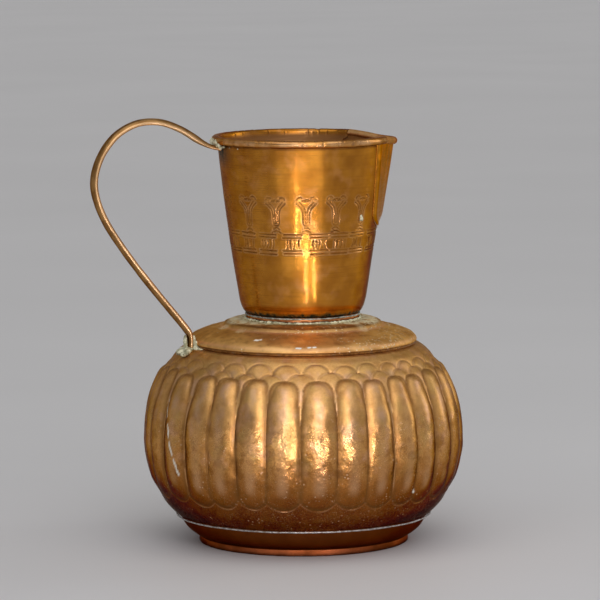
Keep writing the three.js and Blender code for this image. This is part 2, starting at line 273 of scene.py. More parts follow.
def spread(marks, grid):
    """Mark values spread over all the points of a grid."""
    return {mark: np.broadcast_to(value, grid.shape[:2]) for mark, value in marks.items()}


def closed_ring(name, grid, nodes, slot, material, **marks):
    """A closed piece whose rings of points come back to the first ring."""
    rows, cols, _ = grid.shape
    faces = grid_faces(rows, cols, wrap_rows=True)
    add_piece(name, grid.reshape(-1, 3), faces, nodes, slot, material, spread(marks, grid))


def capped(name, grid, nodes, slot, material, **marks):
    """A closed piece whose first and last rings of points are filled to their middles."""
    rows, cols, _ = grid.shape
    vertices = np.vstack([grid.reshape(-1, 3), grid[0].mean(0), grid[-1].mean(0)])
    count = rows * cols
    faces = grid_faces(rows, cols)
    for j in range(cols):
        after = (j + 1) % cols
        faces += [[j, after, count], [count - 1 - j, count - 1 - after, count + 1]]
    marks = {mark: np.r_[v.ravel(), v[0, 0], v[-1, 0]] for mark, v in spread(marks, grid).items()}
    add_piece(name, vertices, faces, nodes, slot, material, marks)


def capped_loops(name, loops, nodes, slot, material, **marks):
    """A closed piece over a stack of thin loops, its ends filled strip by strip."""
    rows, cols, _ = loops.shape
    faces = grid_faces(rows, cols)
    for first in (0, (rows - 1) * cols):
        for j in range(cols // 2 - 1):
            faces.append([first + j, first + j + 1, first + cols - 2 - j, first + cols - 1 - j])
    add_piece(name, loops.reshape(-1, 3), faces, nodes, slot, material, spread(marks, loops), sharp=50)


def sheet_ring(name, outline, push, keep, nodes, slot, material, **marks):
    """A turned sheet: its pushed outer face, and an inner face through every keep-th ring of it."""
    outer = revolve(outline, push)
    picked = np.unique(np.r_[np.arange(0, len(outline), keep), len(outline) - 1])[::-1]
    inward = revolve(outline) - revolve(outline, SHEET)
    inner = outer[picked] + inward[picked]
    bare = np.zeros((len(picked), COLUMNS))
    marks = {mark: np.vstack([value, bare]) for mark, value in spread(marks, outer).items()}
    closed_ring(name, np.vstack([outer, inner]), nodes, slot, material, **marks)


def sweep(path, section, scale):
    """Rings of a flat section of (across, out) points carried along a path without twisting."""
    step = np.gradient(path, axis=0)
    step /= np.linalg.norm(step, axis=1)[:, None]
    across = np.cross(step[0], (0, 0, 1)) if abs(step[0][2]) < 0.9 else np.array((0.0, 1.0, 0.0))
    rings = []
    for place, ahead, size in zip(path, step, scale):
        across = across - ahead * np.dot(across, ahead)
        across = across / np.linalg.norm(across)
        out = np.cross(ahead, across)
        wide, thick = np.broadcast_to(size, 2)
        rings.append(place + wide * section[:, :1] * across + thick * section[:, 1:] * out)
    return np.array(rings)


# ---- finishes


COAT_ROUGHNESS = 0.12


class Finish:
    """A material's nodes, built up by short calls; sizes are in millimetres."""

    def __init__(self, name, colour, rough):
        self.material = bpy.data.materials.new(name)
        self.material.use_nodes = True
        self.tree = self.material.node_tree
        self.place = self.make("ShaderNodeTexCoord").outputs["Object"]
        self.x, _, self.z = self.make("ShaderNodeSeparateXYZ", {0: self.place}).outputs
        self.colour = colour
        self.rough = rough
        self.normal = None

    def make(self, kind, inputs=None, **settings):
        node = self.tree.nodes.new(kind)
        for key, value in settings.items():
            setattr(node, key, value)
        for key, value in (inputs or {}).items():
            self.put(node.inputs[key], value)
        return node

    def put(self, socket, value):
        if isinstance(value, bpy.types.NodeSocket):
            self.tree.links.new(value, socket)
        elif isinstance(value, tuple) and socket.type == "RGBA":
            socket.default_value = (*value, 1)
        else:
            socket.default_value = value

    def features(self, size, shift, stretch=(1, 1, 1)):
        """Places counted in features of the given size; stretch makes them longer each way."""
        scale = tuple(1 / (size * MM * s) for s in stretch)
        inputs = {"Vector": self.place, "Scale": scale, "Location": (shift, 2 * shift, 3 * shift)}
        return self.make("ShaderNodeMapping", inputs).outputs[0]

    def noise(self, size, detail, shift=0, stretch=(1, 1, 1), roughness=0.5):
        """Noise from 0 to 1."""
        places = self.features(size, shift, stretch)
        inputs = {"Vector": places, "Scale": 1.0, "Detail": detail, "Roughness": roughness}
        return self.make("ShaderNodeTexNoise", inputs).outputs[0]

    def cells(self, size, shift):
        """Distance to the nearest of scattered points, 0 at a point."""
        inputs = {"Vector": self.features(size, shift), "Scale": 1.0}
        return self.make("ShaderNodeTexVoronoi", inputs).outputs["Distance"]

    def ramp(self, value, low, high, start=0.0, end=1.0):
        inputs = {"Value": value, "From Min": low, "From Max": high, "To Min": start, "To Max": end}
        return self.make("ShaderNodeMapRange", inputs, interpolation_type="SMOOTHSTEP").outputs[0]

    def patches(self, size, detail, shift, low, high, start=0.0, end=1.0, **more):
        """Patches of noise: the start value where it is below low, the end value above high."""
        return self.ramp(self.noise(size, detail, shift, **more), low, high, start, end)

    def math(self, operation, a, b):
        return self.make("ShaderNodeMath", {0: a, 1: b}, operation=operation).outputs[0]

    def times(self, first, *others):
        for other in others:
            first = self.math("MULTIPLY", first, other)
        return first

    def most(self, a, b):
        return self.math("MAXIMUM", a, b)

    def mark(self, name):
        return self.make("ShaderNodeAttribute", attribute_name=name).outputs["Fac"]

    def paint(self, colour, *shares):
        """Lay a colour over what is there, as thickly as the shares multiplied."""
        node = self.make("ShaderNodeMix", data_type="RGBA")
        for index, value in ((0, self.times(*shares)), (6, self.colour), (7, colour)):
            self.put(node.inputs[index], value)
        self.colour = node.outputs[2]

    def roughen(self, *shares):
        self.rough = self.math("ADD", self.rough, self.times(*shares))

    def bump(self, height, depth):
        """Add a bump from a height of 0 to 1 that stands for a depth in millimetres."""
        node = self.make("ShaderNodeBump", {"Height": height, "Distance": depth * MM, "Strength": 1.0})
        if self.normal is not None:
            self.put(node.inputs["Normal"], self.normal)
        self.normal = node.outputs[0]

    def done(self, metallic=1.0, edge=(1, 1, 1), coat=0.0):
        inputs = {
            "Base Color": self.colour,
            "Coat Weight": coat,
            "Coat Roughness": COAT_ROUGHNESS,
            "Specular Tint": edge,
            "Roughness": self.rough,
            "Metallic": metallic,
        }
        if self.normal is not None:
            inputs["Normal"] = self.normal
        for name, value in inputs.items():
            self.put(self.tree.nodes["Principled BSDF"].inputs[name], value)
        return self.material


DARK_EDGE = (0.32, 0.19, 0.06)  # tarnished copper reflects less where it is seen edge-on
AMBER = (0.46, 0.172, 0.016)


def belly_finish():
    """Browned copper: golden above, dark red-brown below, dusty, with brighter rubbed crests, painted
    highlight lines and painted shade in the valleys.
    """
    brown = (0.36, 0.125, 0.02)
    f = Finish("belly_copper", (0.14, 0.021, 0.003), 0.17)
    height = f.math("ADD", f.z, f.times(f.noise(30, 3), 0.03))
    f.paint(brown, f.ramp(height, 0.04, 0.07))
    f.paint((0.74, 0.37, 0.11), f.ramp(height, 0.055, 0.1))
    f.paint((0.8, 0.45, 0.155), f.ramp(height, 0.09, 0.15))
    f.paint(brown, f.patches(9, 4, 3, 0.42, 0.7), 0.35)
    f.paint(brown, f.patches(1.3, 4, 11, 0.42, 0.66), f.ramp(f.z, 0.04, 0.1, 0.5, 0.16))
    f.paint((0.8, 0.44, 0.3), f.patches(10, 3, 7, 0.5, 0.75), 0.35, f.ramp(f.z, 0.05, 0.08))
    # a lilac tint laid over the rubbed crests and the painted highlight lines
    lilac = f.times(f.mark("wear"), f.patches(12, 3, 15, 0.42, 0.6), f.ramp(f.z, 0.075, 0.11))
    f.paint((0.74, 0.48, 0.38), lilac, 0.35)
    blotch = f.patches(9, 4, 21, 0.5, 0.62, roughness=0.6)
    f.paint((0.26, 0.09, 0.012), blotch, f.ramp(f.z, 0.07, 0.115, 0.5, 0.1))
    # painted glints: small bright orange spots in patches, on the belly below about 115 mm
    painted_glints = f.times(f.ramp(f.cells(3.1, 5), 0.04, 0.3, 1.0, 0.0), f.patches(11, 3, 22, 0.52, 0.64))
    f.paint((0.95, 0.62, 0.38), painted_glints, f.ramp(f.z, 0.085, 0.115, 0.75, 0.0))
    f.paint((0.5, 0.34, 0.1), f.patches(16, 3, 13, 0.5, 0.7), f.ramp(f.z, 0.05, 0.08, 0.0, 0.3))
    # pale on rubbed crests, and painted highlight lines along the petal edges and below the gadroons' feet
    f.paint((0.9, 0.55, 0.3), f.mark("wear"), f.ramp(f.z, 0.045, 0.07, 0.5, 0.16))
    # dark brown in the chased lines, and painted shade in the valleys and under the petal edges
    f.paint((0.2, 0.085, 0.02), f.mark("recess"), 0.72)
    dust = f.times(f.patches(0.8, 1, 5, 0.62, 0.72), f.patches(22, 2, 9, 0.4, 0.62))
    f.paint((0.62, 0.45, 0.25), dust, 0.4)
    paint = f.mark("paint")
    f.paint((0.86, 0.82, 0.7), paint)
    f.roughen(f.noise(5, 4, 1), 0.18)
    f.roughen(f.ramp(f.z, 0.09, 0.125, 0.0, 0.17))
    f.roughen(f.mark("recess"), 0.2)
    f.roughen(f.most(dust, paint), 0.3)
    f.bump(f.noise(6, 3, 2), 0.2)
    f.bump(f.times(f.noise(6.5, 2, 12), f.mark("dented")), 0.9)
    f.bump(f.noise(1.2, 3, 4), 0.04)
    metallic = f.math("SUBTRACT", 1.0, f.most(f.times(dust, 0.4), paint))
    return f.done(metallic, (0.2, 0.12, 0.045), 0.08)


def dish_finish():
    """Dark red-brown copper of the base."""
    f = Finish("dish_copper", (0.11, 0.026, 0.005), 0.3)
    f.paint((0.26, 0.07, 0.014), f.noise(14, 4))
    # painted shade low on the dish, where it meets the foot band
    f.paint((0.04, 0.015, 0.006), f.mark("recess"), 0.7)
    f.roughen(f.noise(4, 3, 1), 0.2)
    f.bump(f.noise(7, 3, 2), 0.12)
    f.bump(f.noise(2.0, 2, 4, (12, 12, 0.3)), 0.03)
    return f.done(edge=DARK_EDGE)


def cap_finish():
    """Browned copper of the shoulder cap, pitted, dusty and pale with verdigris near the neck, with painted
    highlights on the lip and the step and painted shade under the lip, in the groove and round the neck's
    foot.
    """
    f = Finish("cap_copper", (0.7, 0.37, 0.115), 0.36)
    f.paint((0.95, 0.56, 0.19), f.patches(20, 4, 0, 0.35, 0.65))
    f.paint((0.42, 0.2, 0.07), f.patches(5, 4, 6, 0.45, 0.7), 0.4)
    # painted highlights on the lip and on the step's crown
    f.paint((1.0, 0.56, 0.3), f.mark("wear"), 0.6)
    # painted shade under the lip, in the groove above the step and round the neck's foot
    f.paint((0.2, 0.085, 0.025), f.mark("recess"), 0.75)
    spouted = f.math("ADD", f.noise(16, 2, 5), f.times(f.x, 1.6))
    pits = f.times(f.ramp(f.cells(2.3, 3), 0.05, 0.42, 1.0, 0.0), f.ramp(spouted, 0.42, 0.6))
    f.paint((1.0, 0.84, 0.56), pits, 0.9)
    bloom = f.times(f.mark("bloom"), f.patches(3, 5, 8, 0.38, 0.52, 0.12, roughness=0.65))
    f.paint((0.72, 0.67, 0.42), bloom, 0.9)
    paint = f.mark("paint")
    f.paint((0.95, 0.92, 0.82), paint)
    f.roughen(f.noise(6, 4, 1), 0.24)
    f.roughen(bloom, 0.25)
    f.bump(pits, 0.2)
    f.bump(f.noise(1.5, 3, 4, (8, 8, 0.4)), 0.04)
    covered = f.most(f.times(bloom, 0.85), f.times(paint, 0.95))
    return f.done(f.math("SUBTRACT", 0.95, covered), DARK_EDGE)


def neck_finish(name, orange, coat, edge):
    """Polished golden copper with fine spun lines and a film of tarnish, and orange patches."""
    brown = (0.28, 0.092, 0.01)
    f = Finish(name, (0.6, 0.245, 0.026), 0.07)
    f.paint(AMBER, f.patches(22, 3, 0, 0.35, 0.65))
    f.paint(brown, f.patches(3.0, 3, 2, 0.5, 0.75, stretch=(14, 14, 0.35)), 0.35)
    f.paint(brown, f.patches(9, 4, 9, 0.45, 0.7), 0.3)
    f.paint((0.78, 0.36, 0.13), f.patches(12, 3, 7, 0.5, 0.75), 0.3)
    f.paint((1.0, 0.34, 0.02), f.patches(7, 3, 4, 0.4, 0.6), f.ramp(f.z, 0.25, 0.28, 0.0, orange))
    # dark in the chased cuts and the bead's pits, and painted shade under the bead and on the bead by the
    # spout
    f.paint((0.14, 0.045, 0.01), f.mark("recess"), 0.7)
    # painted highlights beside the chased cuts and along the bead's top
    f.paint((1.0, 0.62, 0.32), f.mark("wear"), f.patches(9, 3, 12, 0.4, 0.6, 0.25, 0.6))
    f.paint((0.4, 0.2, 0.075), f.mark("inside"), 0.85)
    # dark green stains, and painted shade in the ragged band at the neck's foot
    stain_and_shade = f.times(f.mark("stain_and_shade"), f.patches(2.5, 4, 5, 0.3, 0.55, 0.55))
    f.paint((0.012, 0.02, 0.012), stain_and_shade)
    f.roughen(f.patches(1.0, 3, 1, 0.38, 0.5, stretch=(16, 16, 0.5)), 0.17)
    f.roughen(f.ramp(f.x, -0.05, -0.034, 0.14, 0.0))
    f.roughen(f.mark("recess"), 0.15)
    f.roughen(f.most(stain_and_shade, f.mark("inside")), 0.4)
    f.bump(f.noise(1.1, 2, 3, (30, 30, 0.25)), 0.018)
    f.bump(f.noise(14, 2, 6), 0.1)
    return f.done(f.math("SUBTRACT", 1.0, f.times(stain_and_shade, 0.5)), edge, coat)


def red_finish(name, low, high, worn):
    """Reddish bare copper, rubbed bright."""
    f = Finish(name, low, 0.3)
    f.paint(high, f.patches(9, 4, 0, 0.35, 0.65))
    f.paint(worn, f.mark("wear"), 0.6)
    f.paint(low, f.patches(1.8, 4, 5, 0.5, 0.7), 0.4)
    # painted shade where marked, as the contact shadow along the foot band's bottom
    f.paint((0.06, 0.02, 0.01), f.mark("recess"), 0.8)
    f.roughen(f.noise(4, 3, 1), 0.2)
    f.bump(f.noise(2.0, 3, 2), 0.12)
    return f.done(edge=DARK_EDGE)


def handle_finish():
    """Brown copper strap with greyish drawn lines, worn bright and given a painted highlight along its inner
    edges and at the top of its arch.
    """
    f = Finish("handle_copper", (0.3, 0.15, 0.05), 0.26)
    f.paint((0.46, 0.25, 0.09), f.patches(10, 4, 0, 0.35, 0.65))
    f.paint((0.18, 0.08, 0.025), f.patches(3, 4, 5, 0.5, 0.7), 0.4)
    # pale where rubbed, with a painted highlight along the inner edges and the arch's top
    f.paint((1.0, 0.66, 0.34), f.mark("wear"), 0.9)
    f.paint((0.16, 0.1, 0.06), f.mark("recess"), 0.5)
    f.roughen(f.noise(3, 4, 1), 0.2)
    f.bump(f.noise(2.2, 3, 2), 0.06)
    return f.done(edge=DARK_EDGE)


def solder_finish(name, low, high, rough, metallic, dark=(0.3, 0.2, 0.12)):
    """Dull solder, mottled from one colour to another with darker places."""
    f = Finish(name, low, rough)
    f.paint(high, f.patches(2.2, 4, 0, 0.38, 0.62))
    f.paint(dark, f.patches(4, 3, 4, 0.5, 0.66), 0.6)
    f.roughen(f.noise(3, 3, 1), 0.2)
    f.bump(f.noise(1.4, 4, 2), 0.25)
    return f.done(metallic)


BELLY = belly_finish()
DISH = dish_finish()
CAP = cap_finish()
NECK = neck_finish("neck_copper", 0.0, 0.12, (0.34, 0.22, 0.08))
BEAK = neck_finish("beak_copper", 0.7, 0.0, (0.78, 0.48, 0.2))
RED = red_finish("red_copper", (0.48, 0.17, 0.06), (0.8, 0.34, 0.13), (0.95, 0.6, 0.25))
FOOT = red_finish("foot_copper", (0.22, 0.055, 0.014), (0.4, 0.1, 0.028), (0.62, 0.17, 0.06))
HANDLE = handle_finish()
SOLDER = solder_finish("grey_solder", (0.32, 0.3, 0.28), (0.62, 0.6, 0.57), 0.35, 0.8)
VERDIGRIS = (0.42, 0.4, 0.23), (0.95, 0.91, 0.64)
CHALK = solder_finish("chalky_verdigris", *VERDIGRIS, 0.45, 0.1, (0.16, 0.15, 0.08))
PALE = solder_finish("pale_solder", (0.3, 0.31, 0.26), (0.66, 0.65, 0.56), 0.45, 0.5, (0.06, 0.08, 0.06))
FILLET = solder_finish("golden_fillet", (0.38, 0.14, 0.014), AMBER, 0.25, 1.0, (0.3, 0.1, 0.012))
SEAM = solder_finish("brown_seam", (0.26, 0.12, 0.03), (0.45, 0.22, 0.06), 0.35, 0.9)


# ---- base


def plate_piece():
    rounding = 0.3
    edge = FOOT_RADIUS - SHEET - GAP - rounding
    outline = joined(
        [(1, 0), (edge, 0)],
        arc((edge, rounding), rounding, -math.pi / 2, 0, 4),
        arc((edge, SHEET - rounding), rounding, 0, math.pi / 2, 4),
        [(1, SHEET)],
    )
    grid = revolve(outline)
    grid[1:-1, :, 2] += 0.08 * ripples(11, TURN, outline[1:-1, :1], 14, 30)
    grid[:, :, 2] = np.maximum(grid[:, :, 2], 0)
    capped("flat_bottom_plate", grid, ["bottom_plate"], "red_copper", FOOT)


def foot_piece():
    inner = FOOT_RADIUS - SHEET
    edge, brow = 0.7, 0.5
    outline = joined(
        [(inner, 0.3), (inner + 0.2, 0)],
        arc((FOOT_RADIUS - edge, edge), edge, -math.pi / 2, 0, 7),
        [(FOOT_RADIUS - 0.15, FOOT_HEIGHT / 2)],
        arc((FOOT_RADIUS - brow, FOOT_HEIGHT - brow), brow, 0, math.pi / 2, 5),
        [(inner, FOOT_HEIGHT)],
    )
    level = outline[:, 1:]
    grid = revolve(outline)
    grid[..., :2] *= 1 + 0.12 * ripples(12, TURN, level, 40, 4)[..., None] / FOOT_RADIUS
    # painted contact shadow along the band's bottom edge
    low = level < 1.2
    wear = ~low * ease(ripples(13, TURN, level, 24, 5), -0.4, 0.6)
    closed_ring("foot_hoop", grid, ["foot_band"], "red_copper", FOOT, recess=low, wear=wear)


def dish_piece():
    foot = FOOT_RADIUS - SHEET - GAP
    curve = (FOOT_RADIUS + 0.6, FOOT_HEIGHT + 0.6), (84, 9), (87.2, 14), (SEAM_RADIUS - 2.4, SEAM_LEVEL - 1)
    outline = joined(
        [(foot, SHEET + GAP), (foot, FOOT_HEIGHT)],
        bezier(curve, 30),
        [(SEAM_RADIUS + 1.4, SEAM_LEVEL + 4.6)],
    )
    level = outline[:, 1:]
    push = 0.25 * ripples(14, TURN, lengths_of(outline)[:, None], 36, 9)
    push = push * ease(level, 5, 9) * (1 - ease(level, 17, 21))
    # painted shade low on the dish, next to the foot band
    recess = 1 - ease(level, 5, 7)
    sheet_ring("plain_base_dish", outline, push, 5, ["base_dish"], "belly_copper", DISH, recess=recess)


def solder_ring(name, node, radius, level, thickness, seed, wander, swell, slot="solder", material=SOLDER):
    """A hand-run line of solder: a bead that wanders and swells as it goes round."""
    bead = circle(1, 10)
    lumps, grains, bends, kinks = (
        ripples(seed + i, TURN, 0.5, cells, 1) for i, cells in enumerate((90, 230, 50, 160))
    )
    size = thickness * (1 + swell * (lumps + 0.5 * grains))
    drift = wander * (bends + 0.5 * kinks)
    grid = round_axis(radius + size * bead[:, :1], TURN, level + drift + size * bead[:, 1:])
    closed_ring(name, grid, [node], slot, material)


# ---- belly


GADROON_STEPS = (14.2, 10.4, 11.7, 11.9, 12.8, 12.8, 10.7, 11.2, 10.2)  # across the side in view
GADROONS = 30
FIRST_GADROON = FRONT - 55.5
GADROON_TOP = 118.7  # lengths along the belly's outline, from the seam
GADROON_BOTTOM = 21.2
GADROON_SAG = 6.4  # how much higher the valleys end than the gadroons
GADROON_RISE = 3.0
LAYERS = (  # rows of petals from the back: top, rise, half-width in pitches, whether between gadroons
    (131.0, 0.8, 0.47, False),
    (124.6, 1.5, 0.46, True),
    (GADROON_TOP, GADROON_RISE, 0.44, False),
)
# Strokes of pale paint, as (angle from the front, length, half-width) places.
BELLY_DRIPS = (
    ((-61.6, 97, 0.3), (-60.2, 90, 0.5), (-59, 84, 0.3)),
    ((-57.4, 78, 0.4), (-56.4, 74, 0.7), (-56, 70, 0.4)),
    ((-55.6, 67, 0.5), (-54.8, 62, 0.7), (-53.6, 57, 0.3)),
    ((-53.2, 55, 0.6), (-51.2, 43, 0.5)),
    ((45, 31.5, 0.6), (45.5, 30.5, 0.6)),
)
CAP_CHIPS = (
    ((-27, 14.9, 1.3), (-24.4, 16.0, 0.8)),
    ((-3.2, 6.2, 0.5), (-1.2, 6.0, 0.5)),
    ((2.8, 6.6, 0.5), (3.8, 6.8, 0.4)),
    ((5.4, 6.8, 0.6), (6.4, 6.9, 0.5)),
)


def gadroon_centres():
    rest = GADROONS - len(GADROON_STEPS)
    uneven = 1 + 0.05 * np.sin(np.arange(rest) * 2.3)
    uneven *= (360 - sum(GADROON_STEPS)) / uneven.sum()
    return FIRST_GADROON + np.r_[0, np.cumsum(np.r_[GADROON_STEPS, uneven[:-1]])]


def belly_outline():
    widest = BELLY_RADIUS, 76
    lower = (SEAM_RADIUS, SEAM_LEVEL), (103, 31), (BELLY_RADIUS, 47), widest
    upper = widest, (BELLY_RADIUS, 108), (104, 131), (LIP_RADIUS + 2.4, LIP_LEVEL - 3.5)
    return joined(bezier(lower, 300), bezier(upper, 300))


def petal_depth(across, length, half, top, foot):
    """Distance inside a petal's edge; its top corners are round and its foot follows a line."""
    corner = 0.92 * half
    a = np.abs(across) - half + corner
    b = length - top + corner
    outside = np.hypot(np.maximum(a, 0), np.maximum(b, 0))
    return np.minimum(corner - outside - np.minimum(np.maximum(a, b), 0), 0.9 * (length - foot))


def petal(fields, ground, across, length, pitch, layer, chance, patchy):
    """The belly's push, dark marks with painted shade, and wear with painted highlights, with one more petal
    of a layer laid over them.
    """
    push, recess, wear = fields
    top, rise, width, _ = layer
    gadroon = rise == GADROON_RISE
    width = width + (0.52 - width) * (1 - ease(length, 84, 114)) * gadroon
    half = width * pitch * (1 + 0.05 * chance[1])
    peak = top + 1.2 * chance[2]
    foot = GADROON_BOTTOM + 0.8 * chance[3] + GADROON_SAG * (np.abs(across) / pitch * 2) ** 2.2
    depth = petal_depth(across, length, half, peak, foot)
    share = np.clip(depth / (0.95 * half), 0, 1)
    dome = 1 - (1 - share) ** 2.1
    line = bell(depth + 0.35, 0.5)
    # painted shade just inside the top edge of each petal and gadroon
    shade = 0.55 * bell(depth - 1.1, 1.1) * ease(length, peak - 9, peak - 4)
    if gadroon:
        raised = ground * (1 - dome * (0.5 + 0.5 * ease(length - foot, 0, 14)))
        line = line * np.maximum(ease(length, peak - 24, peak - 9), 0.9 - 0.9 * ease(length - foot, 2, 9))
        # painted shade along a gadroon's sides, darkest down in the valley
        edge = np.maximum(shade, 0.95 - 0.95 * ease(depth, 0, 4.2))
        # painted highlight in a thin line just below each gadroon's foot
        rim = bell(depth + 1.3, 0.4) * (1 - ease(length, 27, 33)) * ease(length, 12, 17) * patchy
        painted_highlight = 0.8 * rim
    else:
        raised = ground + rise * dome * ease(length, peak - 30, peak - 9)
        line = line * ease(length, peak - 24, peak - 9)
        edge = 0.8 * shade
        rim = 0
        # painted highlight along each petal's top edge
        painted_highlight = bell(depth - 0.5, 0.45) * ease(length, peak - 9, peak - 3)
    inside = depth > 0
    push = np.where(inside, np.maximum(push, raised), push) - 0.32 * line + 0.42 * rim
    recess = np.where(inside, edge, np.maximum(recess, (0.4 + 0.5 * gadroon) * line))
    wear = np.where(inside, dome * ease(share, 0.5, 1) * ease(length - foot, 8, 20), wear)
    return push, recess, np.maximum(wear, painted_highlight)


def belly_relief(turn, length, radius):
    """How far the chased belly stands out, its dark chased lines with painted shade in the valleys and under
    the petal edges, and its rubbed crests with painted highlight lines.
    """
    centres = gadroon_centres()
    around = np.r_[centres, centres[0] + 360]
    pitches = np.diff(around)
    between = (around[:-1] + around[1:]) / 2, pitches
    on_gadroons = centres, (np.roll(pitches, 1) + pitches) / 2
    ground = -GADROON_RISE * (1 - 0.75 * ease(length, 120, 134)) * np.ones(COLUMNS)
    ground = ground * ease(length, 10, 22) * (0.35 + 0.65 * ease(length, 24, 52))
    # painted shade over the valley floors between the gadroons
    recess = ease(length, 24, 34) * (1 - ease(length, 112, 122))
    fields = np.stack([ground, recess * np.ones(COLUMNS), np.zeros_like(ground)])
    sway = 0.5 * ripples(21, turn, length, 60, 26)
    patchy = 0.55 + 0.5 * ripples(26, turn, length, 90, 5)
    chances = np.random.default_rng(5).uniform(-1, 1, (len(LAYERS), GADROONS, 4))
    for layer, row in zip(LAYERS, chances):
        for centre, wide, chance in zip(*(between if layer[-1] else on_gadroons), row):
            off = nearest(turn, centre + 0.4 * chance[0])
            near = np.abs(off[0]) < wide
            across = np.radians(off[:, near]) * radius + sway[:, near]
            site = ground[:, near], across, length, np.radians(wide) * radius
            fields[:, :, near] = petal(fields[:, :, near], *site, layer, chance, patchy[:, near])
    push, recess, wear = fields
    return push, np.clip(recess, 0, 1), np.clip(wear, 0, 1.5)


def belly_dents(turn, length):
    """The belly's hammered unevenness, and where the finish adds its fine dents."""
    front = bell(nearest(turn, FRONT + 10), 34)
    middle = ease(length, 28, 46) * (1 - ease(length, 104, 122))
    broad = (0.28 + 0.2 * front) * ripples(22, turn, length, 72, 9)
    small = (0.12 + 0.12 * front) * ripples(23, turn, length, 150, 5)
    push = (broad + small) * middle + 0.1 * ripples(24, turn, length, 60, 12)
    return push, (0.25 + 0.75 * front) * middle * (1 - ease(length, 74, 100))


def strokes_mark(turn, length, radius, strokes):
    """Values near 1 along strokes of paint."""
    mark = np.zeros(np.broadcast_shapes(turn.shape, length.shape))
    for stroke in strokes:
        for (t0, l0, w0), (t1, l1, w1) in zip(stroke, stroke[1:]):
            off = np.radians(nearest(turn, FRONT + t0)) * radius
            away, share = from_stroke(off, length - l0, np.radians(t1 - t0) * radius, l1 - l0)
            half = w0 + (w1 - w0) * share
            mark = np.maximum(mark, 1 - ease(away, half, half + 0.5))
    return mark


def belly_piece():
    fine = belly_outline()
    # The rings are close together at the scallops and at the scales.
    length = spaced(((0, 8), (17, 22), (32, 38), (108, 40), (134, 5)), lengths_of(fine)[-1])
    outline = along(fine, length)
    places = TURN[None, :], length[:, None], outline[:, :1]
    push, recess, wear = belly_relief(*places)
    dents, dented = belly_dents(*places[:2])
    fields = {"recess": recess, "wear": wear, "paint": strokes_mark(*places, BELLY_DRIPS), "dented": dented}
    marks = {mark: np.vstack([value, value[-1:]]) for mark, value in fields.items()}
    outline = np.vstack([outline, (LIP_RADIUS - 5.5, SHELF_LEVEL)])
    push = np.vstack([push + dents, np.zeros(COLUMNS)])
    sheet_ring("chased_belly", outline, push, 7, ["belly_bowl"], "belly_copper", BELLY, **marks)


# ---- shoulder


def cap_outline():
    lip = ((-1.6, -2.1), (-0.3, -1.5), (0, 0), (-1.2, 2.2), (-4.5, 4.4), (-14, 7.8))
    corners = [(LIP_RADIUS + out, LIP_LEVEL + up) for out, up in lip]
    corners += [(STEP_RADIUS + out, LIP_LEVEL + up) for out, up in ((2.6, 9.6), (0.5, 10.6))]
    corners += [(STEP_RADIUS + out, STEP_LEVEL + up) for out, up in ((-1, -2.2), (-6, -0.5), (-11, 0))]
    return smooth_line(corners + [(THROAT_RADIUS, STEP_LEVEL)], 8)


def cap_bloom(turn, radius, length):
    """Verdigris round the neck's foot, wider and drifting out at the two sides."""
    sides = ease(np.abs(np.sin(np.radians(turn - FRONT))), 0.3, 0.9)
    reach = THROAT_RADIUS + 6.5 + 9 * sides + 2 * ripples(36, turn, 0.5, 40, 5)
    drift = 0.5 * sides * ease(ripples(37, turn, length, 30, 6), 0.2, 0.7) * (radius < STEP_RADIUS + 6)
    return np.maximum(1 - ease(radius, reach - 3, reach + 2), drift)


def cap_piece():
    outline = cap_outline()
    turn = TURN[None, :]
    radius, level = outline[:, :1], outline[:, 1:]
    length = lengths_of(outline)[:, None]
    push = 0.16 * ripples(31, turn, length, 60, 7) + 0.08 * ripples(32, turn, length, 140, 3)
    dented_step = bell(radius - STEP_RADIUS + 2, 2.2) * ease(ripples(33, turn, length, 46, 9), 0.45, 0.9)
    push = (push - 0.35 * dented_step) * ease(length, 2, 8)
    # painted highlight along the lip's top
    lip = 0.6 * bell(level - LIP_LEVEL - 1.6, 1.1) * (radius > LIP_RADIUS - 4)
    # painted shade under the lip
    under_lip = (level < LIP_LEVEL - 0.9) * (radius > LIP_RADIUS - 3)
    # painted shade round the neck's foot
    inner = 0.7 - 0.7 * ease(radius, THROAT_RADIUS + 6, THROAT_RADIUS + 10)
    # painted shade in the groove above the step
    groove = 0.9 * bell(radius - STEP_RADIUS + 2.6, 2.2)
    marks = {
        "recess": np.maximum(np.maximum(inner, under_lip), groove),
        # painted highlight on the step's crown
        "wear": np.maximum(lip, bell(radius - STEP_RADIUS - 1.6, 1.3)),
        "paint": strokes_mark(turn, length, radius, CAP_CHIPS),
        "bloom": cap_bloom(turn, radius, length),
    }
    sheet_ring("stepped_shoulder_cap", outline, push, 6, ["shoulder_cap"], "belly_copper", CAP, **marks)


def collar_piece():
    radius = THROAT_RADIUS + SHEET
    low, high = STEP_LEVEL + GAP, NECK_FOOT_LEVEL - GAP
    outline = bezier([(radius, low), (radius + 1.3, (low + high) / 2), (radius, high)], 12)
    push = 0.25 * ripples(35, TURN, outline[:, 1:], 90, 2)
    sheet_ring("short_collar", outline, push, 4, ["neck_collar"], "red_copper", RED)


# ---- neck


